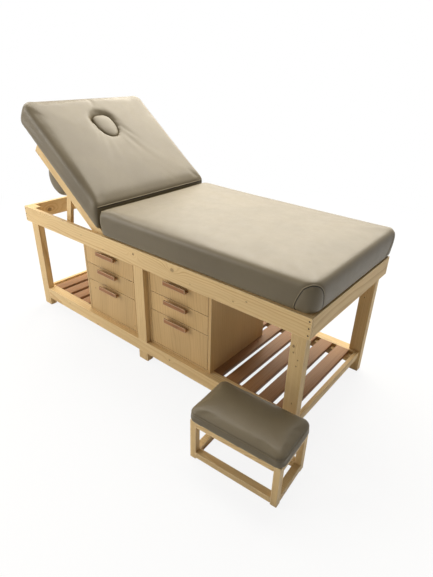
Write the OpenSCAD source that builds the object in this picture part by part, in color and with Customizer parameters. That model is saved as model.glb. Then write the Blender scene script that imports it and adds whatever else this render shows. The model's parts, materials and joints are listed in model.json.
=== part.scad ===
// Spa bed on a board frame, with six cabinet drawers, a tilting backrest and a matching stool.
// The head end points to -X, the open drawer side to -Y and up is +Z. The floor is z = 0.

/* [Bed frame] */
// Length of the frame over its end boards
bed_l = 1892; // [1800:1:2000]
// Width of the frame over its side boards
bed_w = 740; // [700:1:800]
// Height of the upper boards' top edge above the floor
rail_top = 645; // [620:1:680]
// Thickness of every frame board
board_t = 19; // [16:1:22]
// Depth of the upper boards
board_h = 89; // [80:1:96]
// Height of the lower side rails' bottom edge above the floor
foot_gap = 50; // [40:1:60]
// Depth of the lower side rails
lower_h = 68; // [60:1:76]
// Depth of the lower end rails
lower_end_h = 38; // [30:1:45]
// How far the lower end rails stand inside the legs' outer faces
end_in = 10; // [4:1:16]
// Leg size along the bed
leg_x = 64; // [50:1:75]
// Leg size across the bed
leg_y = 38; // [30:1:45]
// Middle leg centre, from the bed's middle toward the foot
mid_leg_at = 12; // [6:1:18]

/* [Slats] */
// Width of a floor slat
slat_w = 68; // [50:1:75]
// Distance from one slat to the next
slat_pitch = 93; // [88:0.5:98]
// Height of the ledgers and depth across
ledger = 38; // [30:1:45]
// Width of the ledger's strip that closes the slats' ends
edge_strip = 15; // [10:1:20]
// Depth of the cross boards under the pads
cross_h = 64; // [50:1:70]

/* [Cabinets] */
// Depth of the cabinets from front to back
cab_d = 440; // [400:1:480]
// How far the cabinets' fronts stand behind the legs' outer faces
cab_in = 26; // [20:1:34]
// Width of the cabinet on the head side
cab_left_w = 419; // [390:1:430]
// Width of the cabinet on the foot side
cab_right_w = 406; // [390:1:430]
// Gap between the cabinet on the head side and the middle post
cab_left_gap = 21; // [10:1:30]
// Gap between the cabinet on the foot side and the middle post
cab_right_gap = 3; // [1:1:10]
// Gap between the cabinet's top and the upper board's top edge
cab_drop = 104; // [98:1:110]
// Thickness of a cabinet side panel
side_t = 15; // [12:1:18]
// Thickness of the cabinet's top, bottom and back panels
panel_t = 12; // [9:1:15]
// Height of the upper and middle drawer fronts
front_small_h = 99; // [90:1:105]
// Gap between two drawer fronts
front_gap = 3; // [2:0.5:4]
// Thickness of a drawer front
front_t = 15; // [12:1:18]
// Thickness of the drawer box walls
box_t = 12; // [9:1:14]

/* [Finger pulls] */
// Length of a finger pull
pull_l = 142; // [120:1:180]
// Height of a finger pull
pull_h = 24; // [21:1:28]
// How far a finger pull stands out
pull_out = 27; // [24:1:30]
// Thickness of the pull's front lip
pull_lip = 8; // [6:1:10]
// Thickness of the pull's lower web
pull_web = 8; // [6:1:10]
// Shift of the pulls toward the head, from the middle of a front
pull_shift = 3; // [0:1:12]

/* [Pads] */
// Thickness of the base pad
pad_t = 140; // [125:1:150]
// Thickness of the backrest pad
back_pad_t = 130; // [115:1:140]
// How far a pad's side stands out past the frame on the open side, where it is widest
pad_over_near = 10; // [4:1:14]
// How far a pad's side stands out past the frame on the far side, where it is widest
pad_over_far = 34; // [20:1:38]
// How far the base pad passes the foot end board, where it is widest
pad_over_foot = 11; // [6:1:14]
// How far a pad's underside is drawn in from its widest
pad_tuck = 12; // [8:1:16]
// Radius of the pads' top edges
edge_r = 26; // [20:1:32]
// Radius of the pads' plan corners
corner_r = 52; // [45:1:70]
// Rise of a pad's middle over its edge
crown = 9; // [5:1:14]
// How far the side of the plug and of the stool's cushion is drawn in at half height
draw_in = 4; // [2:1:7]
// Thickness of the pads' plywood boards
ply_t = 12; // [9:1:15]

/* [Backrest] */
// Angle of the raised backrest
back_angle = 38; // [34:1:41]
// Place of the hinge line, from the bed's middle toward the head
hinge_at = 233; // [220:1:245]
// Depth of the hinge line below the frame's top
hinge_drop = 5; // [5:1:7]
// Length of the backrest pad from the hinge line
back_l = 790; // [770:1:800]
// Gap that opens toward the pads' underside at the hinge line, with the backrest raised
pad_part = 19; // [5:1:24]
// Length of the backrest's side members from the hinge line
member_l = 626; // [622:1:627]
// Depth of the backrest's side members
member_h = 64; // [45:1:64]
// Distance of the middle cross member from the hinge line
cross_at = 290; // [270:1:300]
// Gap between a side member and the frame's side board
member_gap = 3; // [2:1:6]

/* [Face hole] */
// Distance of the face hole's middle from the backrest's head end
hole_in = 217; // [200:1:232]
// Half length of the face hole
hole_a = 80; // [70:1:85]
// Half width of the face hole
hole_b = 62; // [55:1:70]
// Gap around the plug cushion
plug_gap = 3; // [2:0.5:4]
// Depth of the plug's edge below the pad's surface
plug_low = 8; // [5:1:12]

/* [Bolster] */
// Diameter of the bolster
bolster_d = 205; // [180:1:215]
// Gap between the bolster's end and a side member
bolster_gap = 29; // [26:1:58]
// Distance of the bolster's axis from the hinge line, along the backrest
bolster_at = 472; // [465:1:480]
// Depth of the bolster's axis below the hinge plane
bolster_low = 112; // [110:1:118]
// Width of a strap
strap_w = 40; // [30:1:50]
// Thickness of a strap
strap_t = 2; // [1.5:0.5:3]

/* [Prop] */
// Distance of the prop's pivot from the hinge line
prop_at = 350; // [346:1:352]
// Depth of the prop's pivot below the hinge plane
prop_low = 18; // [17:1:19]
// Length of the prop from its pivot to its foot
prop_l = 238; // [234:1:240]
// Lean of the raised prop from upright, toward the head
prop_lean = 11.8; // [10:0.1:14]
// Width of a prop leg
prop_w = 35; // [30:1:36]
// Diameter of the cross rod
rod_d = 16; // [14:1:20]

/* [Stool] */
// Length of the stool's frame
stool_l = 398; // [360:1:430]
// Width of the stool's frame
stool_w = 224; // [200:1:250]
// Height of the stool's frame
stool_h = 200; // [180:1:220]
// Section of the stool's legs and rails
stool_bar = 28; // [24:1:34]
// Gap between the floor and the stool's lower rails
stool_gap = 8; // [5:1:14]
// Thickness of the stool's cushion
stool_pad_t = 60; // [50:1:70]
// How far the cushion passes the stool's frame
stool_over = 9; // [5:1:12]
// Place of the stool from the bed's middle, toward the foot
stool_x = 828; // [800:1:860]
// Place of the stool from the bed's middle line, toward the open side
stool_y = 540; // [530:1:580]
// Turn of the stool
stool_turn = 4; // [0:0.5:8]

/* [Hidden] */

// One overrun for every cut
cut = 2;
// Gap between two pieces that are joined but stay separate solids
joint_gap = 0.05;
// Gap between a moving piece and what carries it
move_gap = 0.3;
// Radial clearance of a running shaft
run_gap = 0.05;

// Colours
pine_c = [0.88, 0.76, 0.56];
veneer_c = [0.80, 0.69, 0.50];
pull_c = [0.58, 0.36, 0.24];
ply_c = [0.76, 0.62, 0.42];
vinyl_c = [0.66, 0.60, 0.48];
steel_c = [0.60, 0.61, 0.62];
webbing_c = [0.20, 0.19, 0.17];

// Frame places
half_l = bed_l / 2;
half_w = bed_w / 2;
in_l = half_l - board_t;
in_w = half_w - board_t;
leg_in = in_w - leg_y;
rail_z = rail_top - board_h;
lower_top = foot_gap + lower_h;
slat_t = board_t;
slat_z = lower_top - slat_t;
mid_x0 = mid_leg_at - leg_x / 2;
mid_x1 = mid_leg_at + leg_x / 2;
cab_z = lower_top;
cab_top = rail_top - cab_drop;
end_out = in_l - end_in;
end_inner = end_out - board_t;

// The whole object stands over its own middle
stool_r = 34;
stool_hx = (stool_l / 2 + stool_over - stool_r) * cos(stool_turn)
    + (stool_w / 2 + stool_over - stool_r) * sin(stool_turn) + stool_r;
stool_hy = (stool_l / 2 + stool_over - stool_r) * sin(stool_turn)
    + (stool_w / 2 + stool_over - stool_r) * cos(stool_turn) + stool_r;
all_x1 = max(half_l + pad_over_foot, stool_x + stool_hx);
all_y0 = min(-half_w, -stool_y - stool_hy);
all_y1 = max(half_w, half_w + pad_over_far);
mid_x = (all_x1 - half_l) / 2;
mid_y = (all_y0 + all_y1) / 2;

module at_bed() translate([-mid_x, -mid_y, 0]) children();

// A box between two corners
module block(a, b) translate(a) cube([b[0] - a[0], b[1] - a[1], b[2] - a[2]]);

// A copy on both sides of the bed's middle line
module both_sides() {
    children();
    mirror([0, 1, 0]) children();
}

// Nails: [x, z] on the side boards' faces, driven into the ends of the end boards
nail_head_r = 3.6;
nail_head_t = 1.6;
nail_r = 1.7;
nail_l = 38;
nail_gap = 0.1;
nail_edge = 15;
nail_x = half_l - board_t / 2;
nail_z = [rail_z + nail_edge, rail_z + board_h / 2, rail_top - nail_edge];
side_nails = [for (x = [-nail_x, nail_x], z = nail_z) [x, z]];

// One nail, its head at the origin and its shank along +Z
module nail(g) {
    translate([0, 0, -g])
        cylinder(r = nail_head_r + g, h = nail_head_t + g, $fn = 24);
    cylinder(r = nail_r + g, h = nail_l + g, $fn = 16);
}

// The nails, or with the gap g their holes
module all_nails(g) {
    both_sides() for (n = side_nails)
        translate([n[0], -half_w, n[1]]) rotate([-90, 0, 0]) nail(g);
}

module nailed() {
    difference() {
        children();
        all_nails(nail_gap);
    }
}

// Upper boards: the long one on the near side and the short one at the foot end
module side_board() block([-half_l, -half_w, rail_z], [half_l, -in_w, rail_top]);
module end_board() block([in_l, -in_w, rail_z], [half_l, in_w, rail_top]);

// Lower rails: the long one lies between the near legs, the short one between the foot legs
module lower_side() block([-in_l + leg_x, -in_w, foot_gap], [in_l - leg_x, -leg_in, lower_top]);
module lower_end() block([end_inner, -leg_in, lower_top - lower_end_h], [end_out, leg_in, lower_top]);

// A corner leg on the near side from x along the bed
module side_leg(x) block([x, -in_w, 0], [x + leg_x, -leg_in, rail_top]);

// The middle leg on the near side stands under the lower rail
module mid_leg() block([mid_x0, -in_w, 0], [mid_x1, -leg_in, foot_gap]);

module rail_near() color(pine_c) at_bed() nailed() side_board();
module rail_far() color(pine_c) at_bed() nailed() mirror([0, 1, 0]) side_board();
module rail_foot() color(pine_c) at_bed() nailed() end_board();
module rail_head() color(pine_c) at_bed() nailed() mirror([1, 0, 0]) end_board();
module lower_rail_near() color(pine_c) at_bed() lower_side();
module lower_rail_far() color(pine_c) at_bed() mirror([0, 1, 0]) lower_side();
module lower_rail_foot() color(pine_c) at_bed() lower_end();
module lower_rail_head() color(pine_c) at_bed() mirror([1, 0, 0]) lower_end();
module leg_head_near() color(pine_c) at_bed() side_leg(-in_l);
module leg_head_far() color(pine_c) at_bed() mirror([0, 1, 0]) side_leg(-in_l);
module leg_mid_near() color(pine_c) at_bed() mid_leg();
module leg_mid_far() color(pine_c) at_bed() mirror([0, 1, 0]) mid_leg();
module leg_foot_near() color(pine_c) at_bed() side_leg(in_l - leg_x);
module leg_foot_far() color(pine_c) at_bed() mirror([0, 1, 0]) side_leg(in_l - leg_x);
module frame_nails() color(steel_c) at_bed() all_nails(0);

// Middle posts from the lower rails to the frame's top
module stiles() color(pine_c) at_bed() both_sides()
    block([mid_x0, -in_w, lower_top], [mid_x1, -leg_in, rail_top]);

// Ledgers: a ledge under the slats' ends with a strip that closes them
slat_half = leg_in - edge_strip;
module slat_ledgers() color(pine_c) at_bed() both_sides() {
    block([-end_inner, -leg_in, slat_z - ledger], [end_inner, -leg_in + ledger, slat_z]);
    block([-end_inner, -leg_in, slat_z], [end_inner, -slat_half, lower_top]);
}

// Slats, spread evenly between the lower end rails
slat_count = floor((2 * end_inner - slat_w) / slat_pitch) + 1;
slat_x0 = -(slat_pitch * (slat_count - 1) + slat_w) / 2;
function slat_x(k) = slat_x0 + slat_pitch * k;

module slats() color(pine_c) at_bed()
    for (k = [0:slat_count - 1])
        block([slat_x(k), -slat_half, slat_z], [slat_x(k) + slat_w, slat_half, slat_z + slat_t]);

// Cross rails between the ledgers, under the first, the middle and the last slat
cross_slats = [0, floor((slat_count - 1) / 2), slat_count - 1];
module cross_rails() color(pine_c) at_bed()
    for (k = cross_slats)
        block([slat_x(k) + slat_w / 2 - board_t / 2, -leg_in + ledger, slat_z - ledger],
            [slat_x(k) + slat_w / 2 + board_t / 2, leg_in - ledger, slat_z]);

// Backrest hinge
hinge_z = rail_top - hinge_drop;
leaf_t = 2;
knuckle_r = 4;
pin_r = 2;
leaf_w = 60;
leaf_h = 34;
leaf_at = 220;
middle_knuckle_share = 0.5;
knuckle_play = 0.5;
knuckle_relief = 0.5;
knuckle_mid = leaf_w * middle_knuckle_share;
leaf_off = leaf_t / 2;
leaf_out = leaf_off + leaf_t;

module hinge_rail() color(pine_c) at_bed()
    difference() {
        block([-hinge_at + leaf_out, -in_w, rail_top - cross_h], [-hinge_at + leaf_out + board_t, in_w, rail_top]);
        both_sides() hinge_relief(-hinge_at, hinge_z);
    }

// Room for the knuckles
module hinge_relief(x, z)
    translate([x, -leaf_at - leaf_w / 2 - knuckle_relief, z]) rotate([-90, 0, 0])
        cylinder(r = knuckle_r + knuckle_relief, h = leaf_w + 2 * knuckle_relief, $fn = 32);

// A stretch of knuckle round the hinge line, from y for a length
module knuckle(y, l, r)
    translate([0, y, 0]) rotate([-90, 0, 0]) cylinder(r = r, h = l, $fn = 32);

// Leaf on the +X side of the hinge line; with middle, it carries the middle knuckle
module leaf(middle) {
    end_l = (leaf_w - knuckle_mid) / 2;
    difference() {
        union() {
            block([leaf_off, -leaf_w / 2, -leaf_h], [leaf_out, leaf_w / 2, 0]);
            if (middle)
                knuckle(-knuckle_mid / 2 + knuckle_play / 2, knuckle_mid - knuckle_play, knuckle_r);
            else
                for (s = [-leaf_w / 2, leaf_w / 2 - end_l])
                    knuckle(s, end_l, knuckle_r);
        }
        if (middle)
            for (s = [-leaf_w / 2 - cut, knuckle_mid / 2 - knuckle_play / 2])
                knuckle(s, end_l + cut + knuckle_play / 2, knuckle_r + move_gap);
        else
            knuckle(-knuckle_mid / 2, knuckle_mid, knuckle_r + move_gap);
        knuckle(-leaf_w / 2 - cut, leaf_w + 2 * cut, pin_r + run_gap);
    }
}

module hinge_leaves_fixed() color(steel_c) at_bed() both_sides()
    translate([-hinge_at, -leaf_at, hinge_z]) leaf(false);

module hinge_leaves_back() color(steel_c) at_back() both_sides()
    translate([0, -leaf_at, 0]) mirror([1, 0, 0]) leaf(true);

module hinge_pins() color(steel_c) at_bed() both_sides()
    translate([-hinge_at, -leaf_at - leaf_w / 2, hinge_z]) rotate([-90, 0, 0])
        cylinder(r = pin_r, h = leaf_w, $fn = 24);

// Cross boards under the base pad
bearer_share = [0.36, 0.67];
module top_bearers() color(pine_c) at_bed()
    for (s = bearer_share) {
        x = -hinge_at + s * (half_l + hinge_at);
        block([x - board_t / 2, -in_w, rail_top - cross_h], [x + board_t / 2, in_w, rail_top]);
    }

// Cushion forms are stacked rings: each ring is a rounded rectangle with inset edges
arc_n = 8;
function arc(cx, cy, r, a) = [for (i = [0:arc_n]) [cx + r * cos(a + 90 * i / arc_n), cy + r * sin(a + 90 * i / arc_n)]];
function ring(x0, x1, y, ra, rb, z) = [
    for (p = concat(arc(x1 - rb, -y + rb, rb, -90), arc(x1 - rb, y - rb, rb, 0),
            arc(x0 + ra, y - ra, ra, 90), arc(x0 + ra, -y + ra, ra, 180)))
        [p[0], p[1], z]
];
function mean(r) = [for (k = [0:2]) [for (p = r) p[k]] * [for (p = r) 1] / len(r)];

// Skin of stacked rings of the same length, closed by a fan at both ends
module stacked(rings) {
    n = len(rings[0]);
    m = len(rings);
    pts = concat([for (r = rings) each r], [mean(rings[0]), mean(rings[m - 1])]);
    sides = [for (j = [0:m - 2], i = [0:n - 1]) each [
        [j * n + i, (j + 1) * n + (i + 1) % n, j * n + (i + 1) % n],
        [j * n + i, (j + 1) * n + i, (j + 1) * n + (i + 1) % n]
    ]];
    low = [for (i = [0:n - 1]) [m * n, i, (i + 1) % n]];
    high = [for (i = [0:n - 1]) [m * n + 1, (m - 1) * n + (i + 1) % n, (m - 1) * n + i]];
    polyhedron(points = pts, faces = concat(sides, low, high));
}

// Insets and heights of a cushion's side, from its underside to the top edge's radius
side_shares = [[0.8, 0], [0, 0.2], [0.7, 0.5], [1, 0.75], [0.6, 1]];
pad_shares = [[1, 0], [0.6, 0.2], [0.25, 0.45], [0.05, 0.7], [0, 0.88], [0, 1]];
edge_steps = 5;
crown_shares = [0.2, 0.4, 0.6, 0.8, 0.93];
min_r = 3;
// Side rows as [inset, height] for a thickness t, an edge radius r, a crown c and a depth d
function side_rows(shares, t, r, c, d) = concat(
    [for (s = shares) [d * s[0], s[1] * (t - c - r)]],
    [for (i = [1:edge_steps]) [r * (1 - cos(90 * i / edge_steps)), t - c - r + r * sin(90 * i / edge_steps)]]
);
function crown_rows(t, r, c, w) = [for (s = crown_shares) [r + s * (w - r), t - c + c * (1 - pow(1 - s, 2))]];
function inner_r(r, d) = max(min_r, r - d);

// A pad along x from a flat end x0 with lean k to x1, half width w; lo is the flat end's small radius
flat_r = 16;
function pad_rows(t, w) = concat(side_rows(pad_shares, t, edge_r, crown, pad_tuck), crown_rows(t, edge_r, crown, w));
function flat_inset(i, d) = i < len(pad_shares) ? 0
    : i < len(pad_shares) + edge_steps ? flat_r * (i - len(pad_shares) + 1) / edge_steps : flat_r + d - edge_r;
function pad_rings(x0, k, x1, w, t, z0) = let(rows = pad_rows(t, w)) [
    for (i = [0:len(rows) - 1]) let(d = rows[i][0], h = rows[i][1])
        ring(x0 + k * h + flat_inset(i, d), x1 - d, w - d, inner_r(flat_r, d), inner_r(corner_r, d), z0 + h)
];

pad_w = half_w + (pad_over_near + pad_over_far) / 2;
pad_shift = (pad_over_far - pad_over_near) / 2;
pad_head_x = -hinge_at + leaf_out;
pad_foot_x = half_l + pad_over_foot;
board_in = 25;
board_gap = 0.5;
board_end = 8;

// A pad's plywood board from x0 to x1 with its underside at z, its outline set in from the pad's;
// with the gap g it is the pocket that holds the board
module pad_board(x0, x1, z, g) {
    under = g > 0 ? cut : 0;
    translate([0, pad_shift, z - under]) linear_extrude(ply_t + g + under)
        polygon([for (p = ring(x0 - g, x1 + g, pad_w - board_in + g, min_r, corner_r - board_in + g, 0)) [p[0], p[1]]]);
}

module base_board_shape(g) pad_board(pad_head_x + board_end, pad_foot_x - board_in, rail_top, g);

module base_board() color(ply_c) at_bed() base_board_shape(0);

module base_pad() color(vinyl_c) at_bed()
    difference() {
        translate([0, pad_shift, 0])
            stacked(pad_rings(pad_head_x, 0, pad_foot_x, pad_w, pad_t, rail_top));
        base_board_shape(board_gap);
    }

// The backrest is drawn lying flat with the hinge line as its origin and the head toward -X
module at_back() at_bed() translate([-hinge_at, 0, hinge_z]) rotate([0, back_angle, 0]) children();

// Place of a point of the flat backrest, u toward the head and w up, on the raised one
function raised(u, w) = [
    -hinge_at - u * cos(back_angle) + w * sin(back_angle),
    hinge_z + u * sin(back_angle) + w * cos(back_angle)
];

// The flat backrest rests just clear of the frame's top
rest_gap = 0.5;
back_z = hinge_drop + rest_gap;
member_span = 2 * (in_w - member_gap);
member_in = member_span / 2 - board_t;
member_z = -member_h + back_z;
member_u = leaf_out;

// Bore for the prop's cross rod
module rod_bore(g)
    translate([-prop_at, -member_span / 2 - cut, -prop_low]) rotate([-90, 0, 0])
        cylinder(r = rod_d / 2 + g, h = member_span + 2 * cut, $fn = 48);

module member()
    difference() {
        block([-member_l, -member_span / 2, member_z], [-member_u, -member_in, back_z]);
        rod_bore(run_gap);
    }

module back_member_near() color(pine_c) at_back() member();
module back_member_far() color(pine_c) at_back() mirror([0, 1, 0]) member();

module back_cross_hinge() color(pine_c) at_back()
    difference() {
        block([-member_u - board_t, -member_in, member_z], [-member_u, member_in, back_z]);
        both_sides() hinge_relief(0, 0);
    }

module back_cross_middle() color(pine_c) at_back()
    block([-cross_at - board_t, -member_in, member_z], [-cross_at, member_in, back_z]);

// Face hole: an egg, wider toward the head; d draws it in
hole_at = back_l - hole_in;
egg_n = 48;
egg_share = 0.14;
function egg(d) = [
    for (i = [0:egg_n - 1]) let(a = 360 * i / egg_n)
        [-hole_at - (hole_a - d) * cos(a), pad_shift - (hole_b - d) * sin(a) * (1 + egg_share * cos(a))]
];
function egg_ring(d, z) = [for (p = egg(d)) [p[0], p[1], z]];

// The flat end's upper edge meets the base pad when the backrest is raised, and its lower edge stays clear
pad_seam = 1;
back_u0 = (pad_part + pad_seam - leaf_out + back_z * sin(back_angle)) / cos(back_angle);
back_u1 = (pad_seam - leaf_out + (back_z + back_pad_t) * sin(back_angle)) / cos(back_angle);
back_lean = (back_u1 - back_u0) / back_pad_t;
plug_rim = 14;

module backrest_board_shape(g)
    mirror([1, 0, 0]) pad_board(back_u0 + board_in, back_l - board_in, back_z, g);

module backrest_board() color(ply_c) at_back()
    difference() {
        backrest_board_shape(0);
        translate([0, 0, back_z - cut]) linear_extrude(ply_t + 2 * cut) polygon(egg(plug_rim));
    }

module backrest_pad() color(vinyl_c) at_back()
    difference() {
        translate([0, pad_shift, 0])
            mirror([1, 0, 0]) stacked(pad_rings(back_u0, back_lean, back_l, pad_w, back_pad_t, back_z));
        backrest_board_shape(board_gap);
        translate([0, 0, back_z - cut]) linear_extrude(back_pad_t + 2 * cut) polygon(egg(0));
    }

plug_edge = 12;
plug_crown = 6;
plug_t = back_pad_t - ply_t - move_gap - plug_low;
plug_rows = concat(
    side_rows(side_shares, plug_t, plug_edge, plug_crown, draw_in / 2),
    crown_rows(plug_t, plug_edge, plug_crown, hole_b - plug_gap)
);
module face_plug() color(vinyl_c) at_back()
    stacked([for (r = plug_rows) egg_ring(plug_gap + r[0], back_z + ply_t + move_gap + r[1])]);

// Roll bolster with rounded ends
roll_edge = 22;
roll_dome = 8;
roll_n = 6;
bolster_r = bolster_d / 2;
bolster_l = 2 * (member_in - bolster_gap);
function roll_end(s) = concat(
    [for (i = [0:roll_n]) let(a = 90 * i / roll_n)
        [bolster_r - roll_edge + roll_edge * cos(a), s * (bolster_l / 2 - roll_edge - roll_dome + roll_edge * sin(a))]],
    [[0, s * bolster_l / 2]]
);
roll_end_hi = roll_end(1);
roll_profile = concat(
    [for (i = [roll_n + 1:-1:0]) roll_end(-1)[i]],
    roll_end_hi
);
module bolster() color(vinyl_c) at_back()
    translate([-bolster_at, 0, -bolster_low]) rotate([-90, 0, 0])
        rotate_extrude($fn = 64) polygon(roll_profile);

strap_share = 0.55;
strap_gap = 0.4;
module strap_area(r) {
    circle(r = r, $fn = 64);
    translate([-r, 0]) square([2 * r, bolster_low + back_z]);
}
module bolster_straps() color(webbing_c) at_back() both_sides()
    translate([-bolster_at, -bolster_l / 2 * strap_share + strap_w / 2, -bolster_low])
        rotate([90, 0, 0]) linear_extrude(strap_w)
            difference() {
                strap_area(bolster_r + strap_gap + strap_t);
                union() {
                    strap_area(bolster_r + strap_gap);
                    translate([-bolster_r - strap_gap, 0])
                        square([2 * (bolster_r + strap_gap), bolster_low + back_z + cut]);
                }
            }

// Prop: two legs on a rod that turns in the side members
prop_side = 0.5;
prop_y = member_in - prop_side;
pivot = raised(prop_at, -prop_low);
module at_prop() at_bed() translate([pivot[0], 0, pivot[1]]) rotate([0, prop_lean, 0]) children();

module prop_leg()
    translate([0, -prop_y, 0]) rotate([-90, 0, 0])
        difference() {
            union() {
                for (d = [0, prop_l])
                    translate([0, d, 0]) cylinder(r = prop_w / 2, h = board_t, $fn = 48);
                translate([-prop_w / 2, 0, 0]) cube([prop_w, prop_l, board_t]);
            }
            translate([0, 0, -cut]) cylinder(r = rod_d / 2 + run_gap, h = board_t + 2 * cut, $fn = 48);
        }
module prop_leg_near() color(pine_c) at_prop() prop_leg();
module prop_leg_far() color(pine_c) at_prop() mirror([0, 1, 0]) prop_leg();
module prop_rod() color(pine_c) at_prop()
    translate([0, -member_span / 2, 0]) rotate([-90, 0, 0])
        cylinder(r = rod_d / 2, h = member_span, $fn = 48);

// The prop's foot rests on a block whose top runs along the foot's first motion
fold = 90 + back_angle - prop_lean;
fold_ratio = fold / back_angle;
foot = [pivot[0] - prop_l * sin(prop_lean), pivot[1] - prop_l * cos(prop_lean)];
foot_dx = -(pivot[1] - hinge_z) - (fold_ratio - 1) * prop_l * cos(prop_lean);
foot_dz = (pivot[0] + hinge_at) + (fold_ratio - 1) * prop_l * sin(prop_lean);
seat_slope = atan(foot_dz / foot_dx);
seat_head = 32;
seat_foot = 20;
seat_gap = 0.5;
seat_low = prop_w / 2 + seat_gap;
function seat_z(x) = foot[1] - seat_low / cos(seat_slope) + (x - foot[0]) * tan(seat_slope);
seat_drop = 1;
seat_shelf = hinge_z + member_z - move_gap - seat_drop;
seat_least = 12;
seat_bottom = min(rail_z, seat_z(foot[0] - seat_head) - seat_least, seat_z(foot[0] + seat_foot) - seat_least);
module prop_seats() color(pine_c) at_bed() both_sides() {
    block([foot[0] - seat_head, -in_w, seat_bottom], [foot[0] + seat_foot, -prop_y, seat_shelf]);
    translate([0, -prop_y, 0]) rotate([90, 0, 0]) mirror([0, 0, 1])
        linear_extrude(board_t) polygon([
            [foot[0] - seat_head, seat_bottom],
            [foot[0] + seat_foot, seat_bottom],
            [foot[0] + seat_foot, seat_z(foot[0] + seat_foot)],
            [foot[0] - seat_head, seat_z(foot[0] - seat_head)]
        ]);
}

// Cabinets, each [x0, x1]
cab_x = [
    [mid_x0 - cab_left_gap - cab_left_w, mid_x0 - cab_left_gap],
    [mid_x1 + cab_right_gap, mid_x1 + cab_right_gap + cab_right_w]
];
cab_y0 = -in_w + cab_in;
cab_y1 = cab_y0 + cab_d;

module cab_sides() color(veneer_c) at_bed()
    for (c = cab_x) {
        block([c[0], cab_y0, cab_z], [c[0] + side_t, cab_y1, cab_top]);
        block([c[1] - side_t, cab_y0, cab_z], [c[1], cab_y1, cab_top]);
    }

module cab_panels(c) {
    a = c[0] + side_t;
    b = c[1] - side_t;
    block([a, cab_y0, cab_z], [b, cab_y1, cab_z + panel_t]);
    block([a, cab_y0, cab_top - panel_t], [b, cab_y1, cab_top]);
    block([a, cab_y1 - panel_t, cab_z + panel_t + joint_gap], [b, cab_y1, cab_top - panel_t - joint_gap]);
}
module cab_left_panels() color(veneer_c) at_bed() cab_panels(cab_x[0]);
module cab_right_panels() color(veneer_c) at_bed() cab_panels(cab_x[1]);

// Drawer fronts from the top: [bottom, top]
front_edge = 2.5;
front_zs = let(
    t = cab_top - panel_t - front_edge,
    b = cab_z + panel_t + front_edge
) [
    [t - front_small_h, t],
    [t - 2 * front_small_h - front_gap, t - front_small_h - front_gap],
    [b, t - 2 * front_small_h - 2 * front_gap]
];
runner_w = 12;
runner_h = 10;
box_side_gap = 1.5;
box_behind = 22;
box_floor = 6;
box_top_drop = 14;

module drawer_runners() color(ply_c) at_bed()
    for (c = cab_x, f = front_zs) {
        y0 = cab_y0 + front_t + front_gap;
        y1 = cab_y1 - panel_t;
        block([c[0] + side_t, y0, f[0]], [c[0] + side_t + runner_w, y1, f[0] + runner_h]);
        block([c[1] - side_t - runner_w, y0, f[0]], [c[1] - side_t, y1, f[0] + runner_h]);
    }

module drawer(c, f) {
    a = c[0] + side_t + front_edge;
    b = c[1] - side_t - front_edge;
    ba = c[0] + side_t + box_side_gap;
    bb = c[1] - side_t - box_side_gap;
    y0 = cab_y0 + front_t + joint_gap;
    y1 = cab_y1 - panel_t - box_behind;
    z0 = f[0] + runner_h + move_gap;
    z1 = f[1] - box_top_drop;
    block([a, cab_y0, f[0]], [b, cab_y0 + front_t, f[1]]);
    difference() {
        block([ba, y0, z0], [bb, y1, z1]);
        block([ba + box_t, y0 + box_t, z0 + box_floor], [bb - box_t, y1 - box_t, z1 + cut]);
    }
}
module drawer_l1() color(veneer_c) at_bed() drawer(cab_x[0], front_zs[0]);
module drawer_l2() color(veneer_c) at_bed() drawer(cab_x[0], front_zs[1]);
module drawer_l3() color(veneer_c) at_bed() drawer(cab_x[0], front_zs[2]);
module drawer_r1() color(veneer_c) at_bed() drawer(cab_x[1], front_zs[0]);
module drawer_r2() color(veneer_c) at_bed() drawer(cab_x[1], front_zs[1]);
module drawer_r3() color(veneer_c) at_bed() drawer(cab_x[1], front_zs[2]);

// Finger pull: a web along the bottom and a lip in front, open at the top
module pull(c, f) {
    x = (c[0] + c[1]) / 2 - pull_shift;
    z0 = f[1] - pull_h;
    block([x - pull_l / 2, cab_y0 - pull_out, z0], [x + pull_l / 2, cab_y0, z0 + pull_web]);
    block([x - pull_l / 2, cab_y0 - pull_out, z0], [x + pull_l / 2, cab_y0 - pull_out + pull_lip, f[1]]);
}
module pull_l1() color(pull_c) at_bed() pull(cab_x[0], front_zs[0]);
module pull_l2() color(pull_c) at_bed() pull(cab_x[0], front_zs[1]);
module pull_l3() color(pull_c) at_bed() pull(cab_x[0], front_zs[2]);
module pull_r1() color(pull_c) at_bed() pull(cab_x[1], front_zs[0]);
module pull_r2() color(pull_c) at_bed() pull(cab_x[1], front_zs[1]);
module pull_r3() color(pull_c) at_bed() pull(cab_x[1], front_zs[2]);

// Stool, drawn over its own middle
module at_stool() at_bed() translate([stool_x, -stool_y, 0]) rotate([0, 0, stool_turn]) children();
sx = stool_l / 2;
sy = stool_w / 2;

module stool_legs() color(pine_c) at_stool()
    for (x = [-sx, sx - stool_bar], y = [-sy, sy - stool_bar])
        block([x, y, 0], [x + stool_bar, y + stool_bar, stool_h]);

module stool_rails() color(pine_c) at_stool()
    for (z = [stool_gap, stool_h - stool_bar]) {
        for (y = [-sy, sy - stool_bar])
            block([-sx + stool_bar, y, z], [sx - stool_bar, y + stool_bar, z + stool_bar]);
        for (x = [-sx, sx - stool_bar])
            block([x, -sy + stool_bar, z], [x + stool_bar, sy - stool_bar, z + stool_bar]);
    }

stool_board_in = 12;
stool_edge = 16;
stool_crown = 8;
module stool_board_shape(g)
    block([-sx + stool_board_in - g, -sy + stool_board_in - g, stool_h - (g > 0 ? cut : 0)],
        [sx - stool_board_in + g, sy - stool_board_in + g, stool_h + ply_t + g]);
module stool_board() color(ply_c) at_stool() stool_board_shape(0);

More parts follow.
